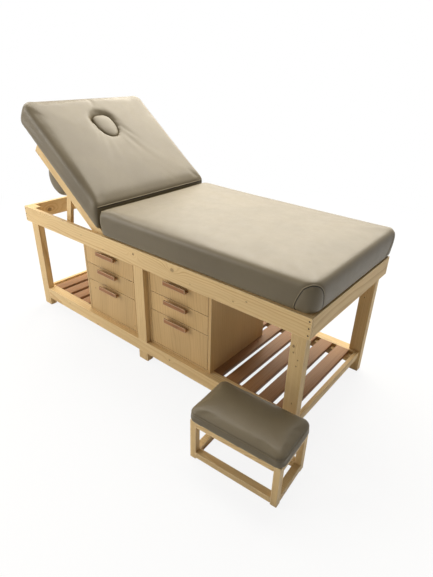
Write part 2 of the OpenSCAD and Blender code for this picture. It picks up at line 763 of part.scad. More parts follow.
stool_rows = concat(
    side_rows(side_shares, stool_pad_t, stool_edge, stool_crown, draw_in / 2),
    crown_rows(stool_pad_t, stool_edge, stool_crown, sy + stool_over)
);
module stool_cushion() color(vinyl_c) at_stool()
    difference() {
        stacked([for (r = stool_rows)
            ring(-sx - stool_over + r[0], sx + stool_over - r[0], sy + stool_over - r[0],
                inner_r(stool_r, r[0]), inner_r(stool_r, r[0]), stool_h + r[1])]);
        stool_board_shape(board_gap);
    }

rail_near();
rail_far();
rail_head();
rail_foot();
lower_rail_near();
lower_rail_far();
lower_rail_head();
lower_rail_foot();
leg_head_near();
leg_head_far();
leg_mid_near();
leg_mid_far();
leg_foot_near();
leg_foot_far();
stiles();
slat_ledgers();
cross_rails();
slats();
hinge_rail();
top_bearers();
base_board();
base_pad();
prop_seats();
frame_nails();
back_member_near();
back_member_far();
back_cross_hinge();
back_cross_middle();
backrest_board();
backrest_pad();
face_plug();
bolster();
bolster_straps();
hinge_leaves_fixed();
hinge_leaves_back();
hinge_pins();
prop_leg_near();
prop_leg_far();
prop_rod();
cab_sides();
cab_left_panels();
cab_right_panels();
drawer_runners();
drawer_l1();
drawer_l2();
drawer_l3();
drawer_r1();
drawer_r2();
drawer_r3();
pull_l1();
pull_l2();
pull_l3();
pull_r1();
pull_r2();
pull_r3();
stool_legs();
stool_rails();
stool_board();
stool_cushion();
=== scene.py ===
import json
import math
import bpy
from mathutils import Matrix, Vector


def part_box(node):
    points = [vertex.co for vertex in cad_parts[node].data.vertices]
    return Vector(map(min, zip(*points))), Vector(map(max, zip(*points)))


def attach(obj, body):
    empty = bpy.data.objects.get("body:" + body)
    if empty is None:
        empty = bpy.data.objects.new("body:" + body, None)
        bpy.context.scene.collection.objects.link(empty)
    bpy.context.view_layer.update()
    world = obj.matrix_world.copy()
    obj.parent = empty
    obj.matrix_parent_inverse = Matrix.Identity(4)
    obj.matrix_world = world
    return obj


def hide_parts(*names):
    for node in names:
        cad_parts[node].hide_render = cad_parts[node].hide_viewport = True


bl_info = {
    "name": "Spa bed with cabinet base",
    "version": (1, 0, 0),
    "blender": (4, 5, 0),
    "location": "View3D > Sidebar > Spa bed",
    "description": "Dresses the packed spa bed: boards, slats, cabinets, pads, bolster, hinges and stool",
    "category": "Object",
}

import bmesh
import bpy
import numpy as np
from bpy.props import FloatProperty, FloatVectorProperty, IntProperty, PointerProperty
from mathutils import Euler, Matrix, Vector
from mathutils.bvhtree import BVHTree

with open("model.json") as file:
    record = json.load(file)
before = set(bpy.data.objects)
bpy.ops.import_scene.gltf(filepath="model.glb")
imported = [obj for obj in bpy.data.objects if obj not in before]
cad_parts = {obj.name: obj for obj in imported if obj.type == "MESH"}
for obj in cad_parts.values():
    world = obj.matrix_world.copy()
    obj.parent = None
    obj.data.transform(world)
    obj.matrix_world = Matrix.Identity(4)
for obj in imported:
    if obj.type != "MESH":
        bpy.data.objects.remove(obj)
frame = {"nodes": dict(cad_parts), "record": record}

NODES = frame["nodes"]
BODY_OF = {
    node: body
    for body, members in frame["record"]["behaviour"]["bodies"].items()
    for node in members
}
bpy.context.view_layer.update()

# The bed's own frame: its middle line, the frame's top and the raised backrest's hinge line
NEAR_LOW, NEAR_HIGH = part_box("rail_near")
FAR_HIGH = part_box("rail_far")[1]
BED = Vector(((NEAR_LOW.x + NEAR_HIGH.x) / 2, (NEAR_LOW.y + FAR_HIGH.y) / 2, 0))
RAIL_TOP = NEAR_HIGH.z
HINGE_X, HINGE_DROP = -0.233, 0.005
HINGE = BED + Vector((HINGE_X, 0, RAIL_TOP - HINGE_DROP))
BACK_ANGLE = math.radians(38)
BACK_LIFT = 0.0055
PROP_LEAN = math.radians(11.8)
STOOL_TURN = math.radians(4)


def on_bed(x, y, z):
    """A point given from the bed's middle line and the floor."""
    return BED + Vector((x, y, z))


def on_back(u, y, w):
    """A point of the raised backrest: u up along it from the hinge, w out of its plane."""
    c, s = math.cos(BACK_ANGLE), math.sin(BACK_ANGLE)
    return HINGE + Vector((-u * c + w * s, y, u * s + w * c))


STOOL_LOW, STOOL_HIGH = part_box("stool_cushion")
STOOL = Vector(((STOOL_LOW.x + STOOL_HIGH.x) / 2, (STOOL_LOW.y + STOOL_HIGH.y) / 2, 0))


def on_stool(x, y, z):
    """A point given from the stool's own middle and the floor."""
    c, s = math.cos(STOOL_TURN), math.sin(STOOL_TURN)
    return STOOL + Vector((x * c - y * s, x * s + y * c, z))


def length_prop(name, description, default):
    """A size in metres that a user may change."""
    return FloatProperty(name=name, description=description, default=default, unit="LENGTH")


def colour_prop(name, description, *default):
    """A colour that a user may change, given without its alpha."""
    return FloatVectorProperty(name=name, description=description, default=(*default, 1),
                               subtype="COLOR", size=4)


def power_prop(name, description, default):
    """A lamp's power in watts."""
    return FloatProperty(name=name, description=description, default=default, subtype="POWER")


class SpaBedFrameSizes(bpy.types.PropertyGroup):
    edge_round: length_prop("Edge rounding", "Rounding of the planed boards' edges", 0.0014)
    slat_round: length_prop("Slat rounding", "Rounding of a slat's long edges", 0.002)
    nail_head: length_prop("Nail head", "Radius of a nail's head", 0.0036)
    nail_proud: length_prop("Nail height", "How far a nail's head stands proud", 0.0004)
    screw_head: length_prop("Hinge screw", "Radius of a hinge screw's head", 0.0036)


class SpaBedPadSizes(bpy.types.PropertyGroup):
    thickness: length_prop("Base pad thickness", "Thickness of the base pad", 0.140)
    back_thickness: length_prop("Backrest pad thickness", "Thickness of the backrest pad", 0.130)
    edge: length_prop("Edge radius", "Radius of the pads' top edges", 0.026)
    corner: length_prop("Corner radius", "Radius of the pads' plan corners", 0.052)
    crown: length_prop("Crown", "Rise of a pad's middle over its edge", 0.009)
    tuck: length_prop("Tuck", "How far a pad's underside is drawn in from its widest", 0.012)
    half_width: length_prop("Half width", "Half the width of a pad", 0.392)
    shift: length_prop("Shift", "How far the pads lie off the frame's middle, away from the open side", 0.012)
    swell: length_prop("Swell", "Furthest that the stuffing may push a pad's cover", 0.006)
    growth: length_prop("Growth", "How far the covers stand out to the far side and the head end", 0.012)
    welt: length_prop("Welt radius", "Radius of the sewn welts", 0.0022)
    stitch: length_prop("Stitch length", "Distance from one stitch to the next", 0.006)
    seed: IntProperty(name="Seed", description="Seed of the stitches' small turns", default=7, min=0)


class SpaBedFinishes(bpy.types.PropertyGroup):
    pine: colour_prop("Pine", "Early wood of the frame boards", 0.77, 0.56, 0.28)
    pine_ring: colour_prop("Pine rings", "Late wood of the frame boards", 0.50, 0.275, 0.095)
    pine_knot: colour_prop("Pine knots", "Knots and dark marks in the pine", 0.14, 0.055, 0.02)
    veneer: colour_prop("Veneer", "Pale wood of the cabinets", 0.60, 0.405, 0.185)
    veneer_ring: colour_prop("Veneer figure", "Darker figure of the cabinets' wood", 0.42, 0.245, 0.092)
    pull: colour_prop("Pulls", "Reddish wood of the finger pulls", 0.36, 0.155, 0.055)
    pull_ring: colour_prop("Pull figure", "Dark lines in the finger pulls", 0.16, 0.06, 0.02)
    vinyl: colour_prop("Vinyl", "Taupe cover of the pads", 0.165, 0.131, 0.076)
    vinyl_deep: colour_prop("Vinyl, deep", "Darker patches of the cover", 0.148, 0.117, 0.068)
    # Slat colours: a redder wood, and darkened as painted shade under the bed
    slat: colour_prop("Slats", "Redder wood of the floor slats", 0.37, 0.19, 0.078)
    slat_ring: colour_prop("Slat rings", "Late wood of the floor slats", 0.19, 0.08, 0.028)
    nail: colour_prop("Nails", "Darkened nail heads", 0.07, 0.05, 0.035)
    webbing: colour_prop("Webbing", "Woven strap", 0.045, 0.038, 0.03)
    steel: colour_prop("Steel", "Zinc plated hinges and their screws", 0.50, 0.49, 0.46)


class SpaBedStage(bpy.types.PropertyGroup):
    lens: FloatProperty(name="Lens", description="Focal length in millimetres on a 36 mm frame",
                        default=27.35)
    sky: FloatProperty(name="Sky", description="Even light from all round", default=0.15, min=0)
    overhead: power_prop("Overhead lamp", "Power of the large lamp above", 195.0)
    window: power_prop("Window lamp", "Power of the broad lamp behind the bed, the sheen on the pads", 115.0)
    front: power_prop("Front lamp", "Power of the lamp on the open side, toward the head", 85.0)
    side: power_prop("Side lamp", "Power of the lamp past the head end, the sheen on the stool", 60.0)


def sizes():
    """The frame's sizes, as the user set them."""
    return bpy.context.scene.spa_bed_frame


def pads():
    """The pads' sizes, as the user set them."""
    return bpy.context.scene.spa_bed_pads


def tint(name, share=1.0):
    """A colour of the finishes, made darker or paler by a share."""
    return (*(share * c for c in getattr(bpy.context.scene.spa_bed_finishes, name)[:3]), 1)


class Bench:
    """Adds nodes to one tree and joins them."""

    def __init__(self, tree):
        self.tree = tree

    def add(self, kind, sockets=None, **settings):
        made = self.tree.nodes.new(kind)
        row, column = divmod(len(self.tree.nodes), 12)
        made.location = (180 * column, -220 * row)
        for key, value in settings.items():
            setattr(made, key, value)
        for key, value in (sockets or {}).items():
            self.feed(made.inputs[key], value)
        return made

    def feed(self, socket, value):
        if isinstance(value, bpy.types.NodeSocket):
            self.tree.links.new(value, socket)
        else:
            socket.default_value = value

    def math(self, operation, *values):
        return self.add("ShaderNodeMath", dict(enumerate(values)), operation=operation).outputs[0]

    def vector(self, operation, *values, scale=None, out=0):
        sockets = dict(enumerate(values))
        if scale is not None:
            sockets["Scale"] = scale
        return self.add("ShaderNodeVectorMath", sockets, operation=operation).outputs[out]

    def length(self, value):
        return self.vector("LENGTH", value, out=1)

    def ease(self, value, low, high, start=0.0, end=1.0):
        sockets = dict(enumerate((value, low, high, start, end)))
        return self.add("ShaderNodeMapRange", sockets, interpolation_type="SMOOTHSTEP").outputs[0]

    def noise(self, vector, scale=1.0, detail=2.0, rough=0.5):
        sockets = {"Vector": vector, "Scale": scale, "Detail": detail, "Roughness": rough}
        return self.add("ShaderNodeTexNoise", sockets).outputs[0]

    def blend(self, share, a, b):
        return self.add("ShaderNodeMix", {0: share, 6: a, 7: b}, data_type="RGBA").outputs[2]

    def group(self, name, make, sockets):
        return self.add("ShaderNodeGroup", sockets, node_tree=tree_of(name, make)).outputs

    def place(self):
        return self.add("ShaderNodeTexCoord").outputs["Object"]

    def face_number(self, name):
        """A number that the mesh keeps on its faces."""
        return self.add("ShaderNodeAttribute", attribute_name=name).outputs["Fac"]

    def point_number(self, name):
        """A number that a tree's seed points bring."""
        return self.add("GeometryNodeInputNamedAttribute", {"Name": name}, data_type="FLOAT").outputs[0]

    def chance(self, seed, low=0.0, high=1.0):
        """A random number for each instance, steady for its seed."""
        made = self.add("FunctionNodeRandomValue", {"Seed": seed}, data_type="FLOAT")
        for socket, value in zip([s for s in made.inputs if s.enabled], (low, high)):
            socket.default_value = value
        return next(s for s in made.outputs if s.enabled)


def tree_of(name, make):
    """The node tree of this name, built the first time it is asked for."""
    return bpy.data.node_groups.get(name) or make(name)


def new_tree(kind, name, takes, gives, gives_kind):
    """A node tree with named inputs and outputs, and the bench it is built on."""
    tree = bpy.data.node_groups.new(name, kind + "NodeTree")
    for label, socket_kind, default in takes:
        socket = tree.interface.new_socket(name=label, in_out="INPUT", socket_type="NodeSocket" + socket_kind)
        if default is not None:
            socket.default_value = default
    for label in gives:
        tree.interface.new_socket(name=label, in_out="OUTPUT", socket_type="NodeSocket" + gives_kind)
    b = Bench(tree)
    return tree, b, b.add("NodeGroupInput").outputs, b.add("NodeGroupOutput").inputs


def shader_group(name, takes, gives):
    """A shader group that takes a place and some sizes, and puts out numbers."""
    return new_tree("Shader", name, [("Vector", "Vector", None), *takes], gives, "Float")


def growth_rings(name):
    """Growth rings round a pith line along X, with fibre streaks and broad patches."""
    tree, b, takes, gives = shader_group(
        name,
        [("Pith", "Vector", (0, 0, 0.08)), ("Lean", "Vector", (0, 0, 0)), ("Ring Width", "Float", 0.006),
         ("Waver", "Float", 0.02), ("Swirl", "Float", 0.0)],
        ["Ring", "Fibre", "Patch"],
    )
    place = takes["Vector"]

    def drawn_out(stretch, detail, rough=0.5):
        return b.noise(b.vector("MULTIPLY", place, stretch), 1, detail, rough)

    along = b.add("ShaderNodeSeparateXYZ", {0: place}).outputs[0]
    moved = b.vector("ADD", place, takes["Pith"])
    moved = b.vector("ADD", moved, b.vector("SCALE", takes["Lean"], scale=along))
    across = b.vector("MULTIPLY", moved, (0, 1, 1))
    drift = b.math("SUBTRACT", drawn_out((1.6, 8, 8), 2), 0.5)
    fine = b.math("SUBTRACT", drawn_out((9, 45, 45), 1), 0.5)
    drift = b.math("ADD", drift, b.math("MULTIPLY", fine, 0.12))
    reach = b.math("ADD", b.length(across), b.math("MULTIPLY", drift, takes["Waver"]))
    phase = b.math("DIVIDE", b.math("ADD", reach, takes["Swirl"]), takes["Ring Width"])
    part = b.math("FRACT", phase)
    late = b.math("MULTIPLY", b.ease(part, 0.35, 0.9), b.ease(part, 0.93, 1.0, 1.0, 0.0))
    year = b.add("ShaderNodeTexWhiteNoise", {"W": b.math("FLOOR", phase)}, noise_dimensions="1D").outputs[0]
    b.feed(gives["Ring"], b.math("MULTIPLY", late, b.math("MULTIPLY_ADD", year, 0.7, 0.3)))
    streak, hair = drawn_out((5, 190, 190), 3, 0.6), drawn_out((18, 900, 900), 1)
    b.feed(gives["Fibre"], b.math("ADD", b.math("MULTIPLY", streak, 0.65), b.math("MULTIPLY", hair, 0.35)))
    b.feed(gives["Patch"], drawn_out((1.4, 7, 7), 2))
    return tree


def knot_mark(name):
    """A knot: how far it pushes the rings aside, and its dark core."""
    takes = [("Centre", "Vector", (0, 0, 0)), ("Radius", "Float", 0.008), ("Push", "Float", 0.02)]
    tree, b, takes, gives = shader_group(name, takes, ["Swirl", "Core"])
    off = b.vector("SUBTRACT", takes["Vector"], takes["Centre"])
    halo = b.math("MULTIPLY", takes["Radius"], 2.4)
    wide = b.math("DIVIDE", b.length(b.vector("MULTIPLY", off, (0.5, 1, 1))), halo)
    bump = b.math("EXPONENT", b.math("MULTIPLY", b.math("MULTIPLY", wide, wide), -1.0))
    b.feed(gives["Swirl"], b.math("MULTIPLY", bump, takes["Push"]))
    ragged = b.math("MULTIPLY_ADD", b.noise(takes["Vector"], 220, 2), 0.5, -0.25)
    near = b.math("DIVIDE", b.length(b.vector("MULTIPLY", off, (0.8, 1, 1))), takes["Radius"])
    near = b.math("ADD", near, ragged)
    rings = b.math("MULTIPLY_ADD", b.math("SINE", b.math("MULTIPLY", near, 15.0)), 0.2, 0.8)
    b.feed(gives["Core"], b.math("MULTIPLY", b.ease(near, 0.55, 1.1, 1.0, 0.0), rings))
    return tree


def wood_specks(name):
    """Small dark resin marks, longer along the grain."""
    takes = [("Density", "Float", 0.12), ("Size", "Float", 0.05)]
    tree, b, takes, gives = shader_group(name, takes, ["Mark"])
    drawn_out = b.vector("MULTIPLY", takes["Vector"], (0.4, 1, 1))
    cells = b.add("ShaderNodeTexVoronoi", {"Vector": drawn_out, "Scale": 42.0}).outputs
    draw = b.add("ShaderNodeSeparateColor", {0: cells["Color"]}).outputs[0]
    chosen = b.math("LESS_THAN", draw, takes["Density"])
    spot = b.ease(cells["Distance"], takes["Size"], b.math("MULTIPLY", takes["Size"], 2.2), 1.0, 0.0)
    b.feed(gives["Mark"], b.math("MULTIPLY", spot, chosen))
    return tree


def vinyl_grain(name):
    """Fine pebbled grain of coated cloth, with soft patches and rubbed places."""
    tree, b, takes, gives = shader_group(name, [("Pebble", "Float", 850.0)], ["Height", "Patch", "Rub"])
    place = takes["Vector"]
    cells = b.add("ShaderNodeTexVoronoi", {"Vector": place, "Scale": takes["Pebble"]}, feature="SMOOTH_F1")
    fine = b.math("MULTIPLY", b.noise(place, 2400.0, 2), 0.3)
    b.feed(gives["Height"], b.math("ADD", b.math("MULTIPLY", cells.outputs["Distance"], 0.7), fine))
    b.feed(gives["Patch"], b.noise(place, 5.0, 3, 0.55))
    b.feed(gives["Rub"], b.noise(place, 26.0, 4, 0.6))
    return tree


def cross_weave(name):
    """Over and under threads of a woven strap: a height, and a shade that is painted darker where the threads
    dip under.
    """
    tree, b, takes, gives = shader_group(name, [("Pitch", "Float", 0.0014)], ["Height", "Shade"])
    turns = b.vector("SCALE", takes["Vector"], scale=b.math("DIVIDE", math.tau, takes["Pitch"]))
    axes = b.add("ShaderNodeSeparateXYZ", {0: turns}).outputs
    warp, weft = b.math("SINE", b.math("ADD", axes[0], axes[2])), b.math("SINE", axes[1])
    woven = b.math("MULTIPLY", warp, weft)
    b.feed(gives["Height"], b.math("MULTIPLY_ADD", woven, 0.5, 0.5))
    b.feed(gives["Shade"], b.math("MULTIPLY_ADD", woven, 0.25, 0.75))
    return tree


def bench_of(owner):
    """A bench on the emptied tree of a material or world."""
    owner.use_nodes = True
    owner.node_tree.nodes.clear()
    return Bench(owner.node_tree)


def new_material(name):
    """A material with its shader, and the bench to dress it on."""
    made = bpy.data.materials.new(name)
    b = bench_of(made)
    shader = b.add("ShaderNodeBsdfPrincipled")
    out = b.add("ShaderNodeOutputMaterial", {"Surface": shader.outputs[0]})
    shader.location, out.location = (300, 300), (600, 300)
    return made, b, shader


def dress(b, shader, colour, rough, height=None, strength=0.0, distance=0.0):
    """Feeds a shader its colour, its roughness and, where a height is given, its relief."""
    b.feed(shader.inputs["Base Color"], colour)
    b.feed(shader.inputs["Roughness"], rough)
    if height is not None:
        bump = b.add("ShaderNodeBump", {"Height": height, "Strength": strength, "Distance": distance})
        b.feed(shader.inputs["Normal"], bump.outputs[0])


# Turns that lay a board's grain along X
ALONG_X = Euler((0, 0, 0))
ALONG_Y = Euler((0, 0, -math.pi / 2))
ALONG_Z = Euler((0, math.pi / 2, 0))
ALONG_BACK = Euler((0, math.pi - BACK_ANGLE, 0))
ALONG_PROP = Euler((0, math.pi / 2 - PROP_LEAN, 0))

# Colours of each wood: its ground, its darker figure, and its knots and marks
PINE = ("pine", "pine_ring", "pine_knot")
VENEER = ("veneer", "veneer_ring", "pine_knot")
# The slats' colours are darkened: painted shade under the bed
SLAT_WOOD_SHADED = ("slat", "slat_ring", "pine_knot")
PULL_WOOD = ("pull", "pull_ring", "pull_ring")
# Paler colour of the eased edges: a painted highlight with some wear
EDGE_WEAR_AND_HIGHLIGHT = (0.9, 0.74, 0.48, 1)


def wood(name, kind, grain, pith=(0.02, 0.09), lean=(0.02, 0.01), ring=0.0065, waver=0.02, knots=(),
         strength=1.0, specks=0.1, rough=0.5, spread=1.0, tone=1.0):
    """A planed wood: rings, fibre, knots, specks and paler eased edges, a painted highlight with some wear.
    Pith and lean are across the grain.
    """
    made, b, shader = new_material(name)
    ground, figure, mark = tint(kind[0], tone), tint(kind[1]), tint(kind[2])
    turned = b.add("ShaderNodeMapping", {"Vector": b.place(), "Rotation": tuple(grain)}).outputs[0]
    board, worn = b.face_number("board"), b.face_number("worn")
    own = b.vector("ADD", turned, b.vector("SCALE", (3.7, 0.31 * spread, 0.17 * spread), scale=board))
    swirl, core = 0.0, 0.0
    for at, radius, push, depth in knots:
        centre = tuple(grain.to_matrix() @ on_bed(*at))
        knot = b.group("Knot", knot_mark, {
            "Vector": turned, "Centre": centre, "Radius": radius, "Push": push})
        swirl = b.math("ADD", swirl, knot["Swirl"])
        core = b.math("MAXIMUM", core, b.math("MULTIPLY", knot["Core"], depth))
    rings = b.group("Growth rings", growth_rings, {
        "Vector": own, "Pith": (0, *pith), "Lean": (0, *lean), "Ring Width": ring, "Waver": waver,
        "Swirl": swirl})
    marks = b.group("Specks", wood_specks, {"Vector": own, "Density": specks, "Size": 0.055})["Mark"]
    marks = b.math("MAXIMUM", marks, core)
    colour = b.blend(b.math("MULTIPLY", rings["Ring"], 0.62 * strength), ground, figure)
    colour = b.blend(b.math("MULTIPLY", b.ease(rings["Fibre"], 0.42, 0.68), 0.20), colour, figure)
    patch = b.math("MULTIPLY_ADD", rings["Patch"], 0.34, 0.84)
    each = b.math("MULTIPLY_ADD", b.math("FRACT", b.math("MULTIPLY", board, 7.31)), 0.18, 0.91)
    colour = b.vector("SCALE", colour, scale=b.math("MULTIPLY", patch, each))
    colour = b.blend(b.math("MULTIPLY", marks, 0.85), colour, mark)
    # The eased edges are painted paler: a painted highlight with some wear
    colour = b.blend(b.math("MULTIPLY", worn, 0.35), colour, EDGE_WEAR_AND_HIGHLIGHT)
    gloss = b.math("MULTIPLY_ADD", rings["Fibre"], 0.22, rough - 0.1)
    gloss = b.math("SUBTRACT", gloss, b.math("MULTIPLY", worn, 0.08))
    height = b.math("ADD", b.math("MULTIPLY", rings["Fibre"], 0.6), b.math("MULTIPLY", rings["Ring"], 0.4))
    height = b.math("SUBTRACT", height, b.math("MULTIPLY", marks, 0.5))
    dress(b, shader, colour, gloss, height, 0.35, 0.0006)
    shader.inputs["Specular IOR Level"].default_value = 0.28
    return made


def plywood(name):
    """Edges and faces of the hidden boards: fine layers, a little darker than the veneer."""
    return wood(name, VENEER, ALONG_X, pith=(0.5, 4.0), ring=0.0015, waver=0.0005, specks=0.05, tone=0.9)


def vinyl(name, tone=1.0):
    """Soft satin coated cloth; a low tone paints the shadowed line of a seam, and a high tone paints a
    highlight on the welts.
    """
    made, b, shader = new_material(name)
    grain = b.group("Vinyl grain", vinyl_grain, {"Vector": b.place(), "Pebble": 900.0})
    colour = b.blend(b.ease(grain["Patch"], 0.35, 0.65), tint("vinyl_deep", tone), tint("vinyl", tone))
    # The pebble's low pits are painted darker: painted shade in the grain's hollows
    pit_shade = b.math("MULTIPLY", b.ease(grain["Height"], 0.25, 0.6, 1.0, 0.0), 0.25)
    colour = b.blend(pit_shade, colour, tint("vinyl_deep", 0.6 * tone))
    dress(b, shader, colour, b.math("MULTIPLY_ADD", grain["Rub"], 0.16, 0.37), grain["Height"], 0.3, 0.0003)
    shader.inputs["Specular IOR Level"].default_value = 0.4
    return made


def thread(name):
    """Twisted sewing thread, paler than the cover."""
    made, b, shader = new_material(name)
    twist = b.noise(b.place(), 1800.0, 2)
    colour = b.blend(twist, tint("vinyl", 1.5), tint("vinyl_deep"))
    dress(b, shader, colour, b.math("MULTIPLY_ADD", twist, 0.2, 0.5))
    return made


def webbing(name):
    """Dark woven strap."""
    made, b, shader = new_material(name)
    woven = b.group("Cross weave", cross_weave, {"Vector": b.place(), "Pitch": 0.0022})
    # Scaled by the weave's shade: painted shade where the threads dip under
    colour = b.vector("SCALE", tint("webbing")[:3], scale=b.math("MULTIPLY", woven["Shade"], 1.4))
    dress(b, shader, colour, b.math("MULTIPLY_ADD", woven["Shade"], 0.2, 0.6), woven["Height"], 0.5, 0.0006)
    return made


def steel(name, kind="steel"):
    """Plated steel with faint brushing and dull spots."""
    made, b, shader = new_material(name)
    place = b.place()
    brushed = b.noise(b.vector("MULTIPLY", place, (900, 60, 900)), 1, 2)
    dull = b.noise(place, 90.0, 3)
    colour = b.blend(b.ease(dull, 0.4, 0.7), tint(kind), tint(kind, 0.7))
    dress(b, shader, colour, b.math("MULTIPLY_ADD", dull, 0.25, 0.28), brushed, 0.12, 0.0002)
    shader.inputs["Metallic"].default_value = 1.0
    return made


MADE = {}


def finish_of(name, make, *args, **given):
    """A finish, built once."""
    if name not in MADE:
        MADE[name] = make(name, *args, **given)
    return MADE[name]


def linked(name, data):
    """A new object in the scene."""
    made = bpy.data.objects.new(name, data)
    bpy.context.scene.collection.objects.link(made)
    return made


def paint(thing, material):
    """Gives an object one finish all over."""
    thing.data.materials.clear()
    thing.data.materials.append(material)


def new_piece(name, mesh, body, material, replaces=()):
    """A piece at the origin, riding on its body."""
    made = linked(name, mesh)
    paint(made, material)
    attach(made, body)
    if replaces:
        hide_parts(*replaces)
    return made


def number_boards(work):
    """A steady number from 0 to 1 on every face, the same over one loose board."""
    layer = work.faces.layers.float.new("board")
    seen = set()
    for first in work.faces:
        if first.index in seen:
            continue
        group, todo = [], [first]
        seen.add(first.index)
        while todo:
            face = todo.pop()
            group.append(face)
            for edge in face.edges:
                for other in edge.link_faces:
                    if other.index not in seen:
                        seen.add(other.index)
                        todo.append(other)
        middle = sum((face.calc_center_median() for face in group), Vector()) / len(group)
        number = math.sin(middle.x * 127.1 + middle.y * 311.7 + middle.z * 74.7) * 43.7585
        for face in group:
            face[layer] = number - math.floor(number)


def eased_board(node, name, material, width=None, least=0.006):
    """A copy of a CAD node with its long sharp edges eased, in that node's place."""
    work = bmesh.new()
    work.from_mesh(NODES[node].data)
    bmesh.ops.remove_doubles(work, verts=work.verts, dist=1e-5)
    bmesh.ops.dissolve_limit(work, angle_limit=math.radians(1), verts=work.verts, edges=work.edges)
    work.faces.index_update()
    number_boards(work)
    sharp = [
        edge
        for edge in work.edges
        if len(edge.link_faces) == 2 and edge.calc_length() > least
        and edge.calc_face_angle_signed(0) > math.radians(40)
    ]
    # Marks the eased faces, which the wood paints paler as a highlight with some wear
    worn = work.faces.layers.float.new("worn")
    eased = bmesh.ops.bevel(work, geom=sharp, offset=width or sizes().edge_round, offset_type="OFFSET",
                            segments=2, profile=0.6, affect="EDGES", clamp_overlap=False)
    for face in eased["faces"]:
        face[worn] = 1.0
    mesh = bpy.data.meshes.new(name)
    work.to_mesh(mesh)
    work.free()
    return new_piece(name, mesh, BODY_OF[node], material, [node])


def evaluated(thing):
    """A new mesh of an object with its modifiers applied."""
    depsgraph = bpy.context.evaluated_depsgraph_get()
    return bpy.data.meshes.new_from_object(thing.evaluated_get(depsgraph), depsgraph=depsgraph)


def grow(name, make, points, edges, numbers, values):
    """Runs a tree on a small mesh of points and gives back the plain mesh."""
    seed = bpy.data.meshes.new(name + "_points")
    seed.from_pydata([tuple(p) for p in points], edges, [])
    for key, given in numbers.items():
        seed.attributes.new(key, "FLOAT", "POINT").data.foreach_set("value", given)
    holder = linked(name + "_points", seed)
    modifier = holder.modifiers.new("Grow", "NODES")
    modifier.node_group = tree = tree_of(TREE_NAMES[make], make)
    for item in tree.interface.items_tree:
        if item.item_type == "SOCKET" and item.in_out == "INPUT" and item.name in values:
            modifier[item.identifier] = values[item.name]
    bpy.context.view_layer.update()
    mesh = evaluated(holder)
    holder.modifiers.clear()
    bpy.data.objects.remove(holder)
    mesh.name = name
    if not mesh.polygons:
        raise RuntimeError(f"{name}: its tree made nothing")
    return mesh


def growing_tree(name, takes):
    """A geometry tree that takes points or lines, its sizes and a finish."""
    takes = [("Geometry", "Geometry", None), *takes, ("Finish", "Material", None)]
    return new_tree("Geometry", name, takes, ["Geometry"], "Geometry")


def ended(tree, b, takes, gives, geometry):
    """Ends a geometry tree in Realize Instances and Set Material."""
    real = b.add("GeometryNodeRealizeInstances", {"Geometry": geometry}).outputs[0]
    done = b.add("GeometryNodeSetMaterial", {"Geometry": real, "Material": takes["Finish"]}).outputs[0]
    b.feed(gives["Geometry"], done)
    return tree


def slat_tree(name):
    """Slats with rounded long edges: one on every point, as long as the point's own half says."""
    tree, b, takes, gives = growing_tree(name, [
        ("Width", "Float", 0.068), ("Thickness", "Float", 0.019), ("Rounding", "Float", 0.002),
        ("Seed", "Int", 3)])
    section = b.add("GeometryNodeCurvePrimitiveQuadrilateral", {
        "Width": takes["Width"], "Height": takes["Thickness"]})
    filleted = b.add("GeometryNodeFilletCurve", {"Curve": section.outputs[0], "Radius": takes["Rounding"]})
    for socket in filleted.inputs:
        if socket.name == "Count":
            socket.default_value = 2
    if hasattr(filleted, "mode"):
        filleted.mode = "POLY"
    line = b.add("GeometryNodeCurvePrimitiveLine", {"Start": (0, -1, 0), "End": (0, 1, 0)}).outputs[0]
    one = b.add("GeometryNodeCurveToMesh", {
        "Curve": line, "Profile Curve": filleted.outputs[0], "Fill Caps": True})
    scale = b.add("ShaderNodeCombineXYZ", {0: 1.0, 1: b.point_number("half"), 2: 1.0}).outputs[0]
    placed = b.add("GeometryNodeInstanceOnPoints", {
        "Points": takes["Geometry"], "Instance": one.outputs[0], "Scale": scale}).outputs[0]
    stored = b.add("GeometryNodeStoreNamedAttribute", {"Geometry": placed, "Name": "board"},
                   data_type="FLOAT", domain="INSTANCE")
    b.feed(next(s for s in stored.inputs if s.enabled and s.name == "Value"), b.chance(takes["Seed"]))
    return ended(tree, b, takes, gives, stored.outputs[0])


def stud_tree(name):
    """Nail and screw heads: a low cone on every point, turned by the point's own angles about X and Y."""
    tree, b, takes, gives = growing_tree(name, [
        ("Radius", "Float", 0.0036), ("Height", "Float", 0.0014), ("Sink", "Float", 0.001)])
    cone = b.add("GeometryNodeMeshCone", {
        "Vertices": 18, "Side Segments": 1, "Radius Bottom": takes["Radius"],
        "Radius Top": b.math("MULTIPLY", takes["Radius"], 0.72), "Depth": takes["Height"]})
    down = b.add("ShaderNodeCombineXYZ", {2: b.math("MULTIPLY", takes["Sink"], -1.0)}).outputs[0]
    sunk = b.add("GeometryNodeTransform", {"Geometry": cone.outputs[0], "Translation": down}).outputs[0]
    turns = {0: b.point_number("about_x"), 1: b.point_number("about_y")}
    placed = b.add("GeometryNodeInstanceOnPoints", {
        "Points": takes["Geometry"], "Instance": sunk,
        "Rotation": b.add("ShaderNodeCombineXYZ", turns).outputs[0]})
    return ended(tree, b, takes, gives, placed.outputs[0])


def welt_tree(name):
    """A round welt that follows a line of points."""
    tree, b, takes, gives = growing_tree(name, [("Radius", "Float", 0.0022)])
    line = b.add("GeometryNodeMeshToCurve", {"Mesh": takes["Geometry"]}).outputs[0]
    section = b.add("GeometryNodeCurvePrimitiveCircle", {"Resolution": 8, "Radius": takes["Radius"]})
    tube = b.add("GeometryNodeCurveToMesh", {
        "Curve": line, "Profile Curve": section.outputs[0], "Fill Caps": True})
    smooth = b.add("GeometryNodeSetShadeSmooth", {"Geometry": tube.outputs[0]}).outputs[0]
    return ended(tree, b, takes, gives, smooth)


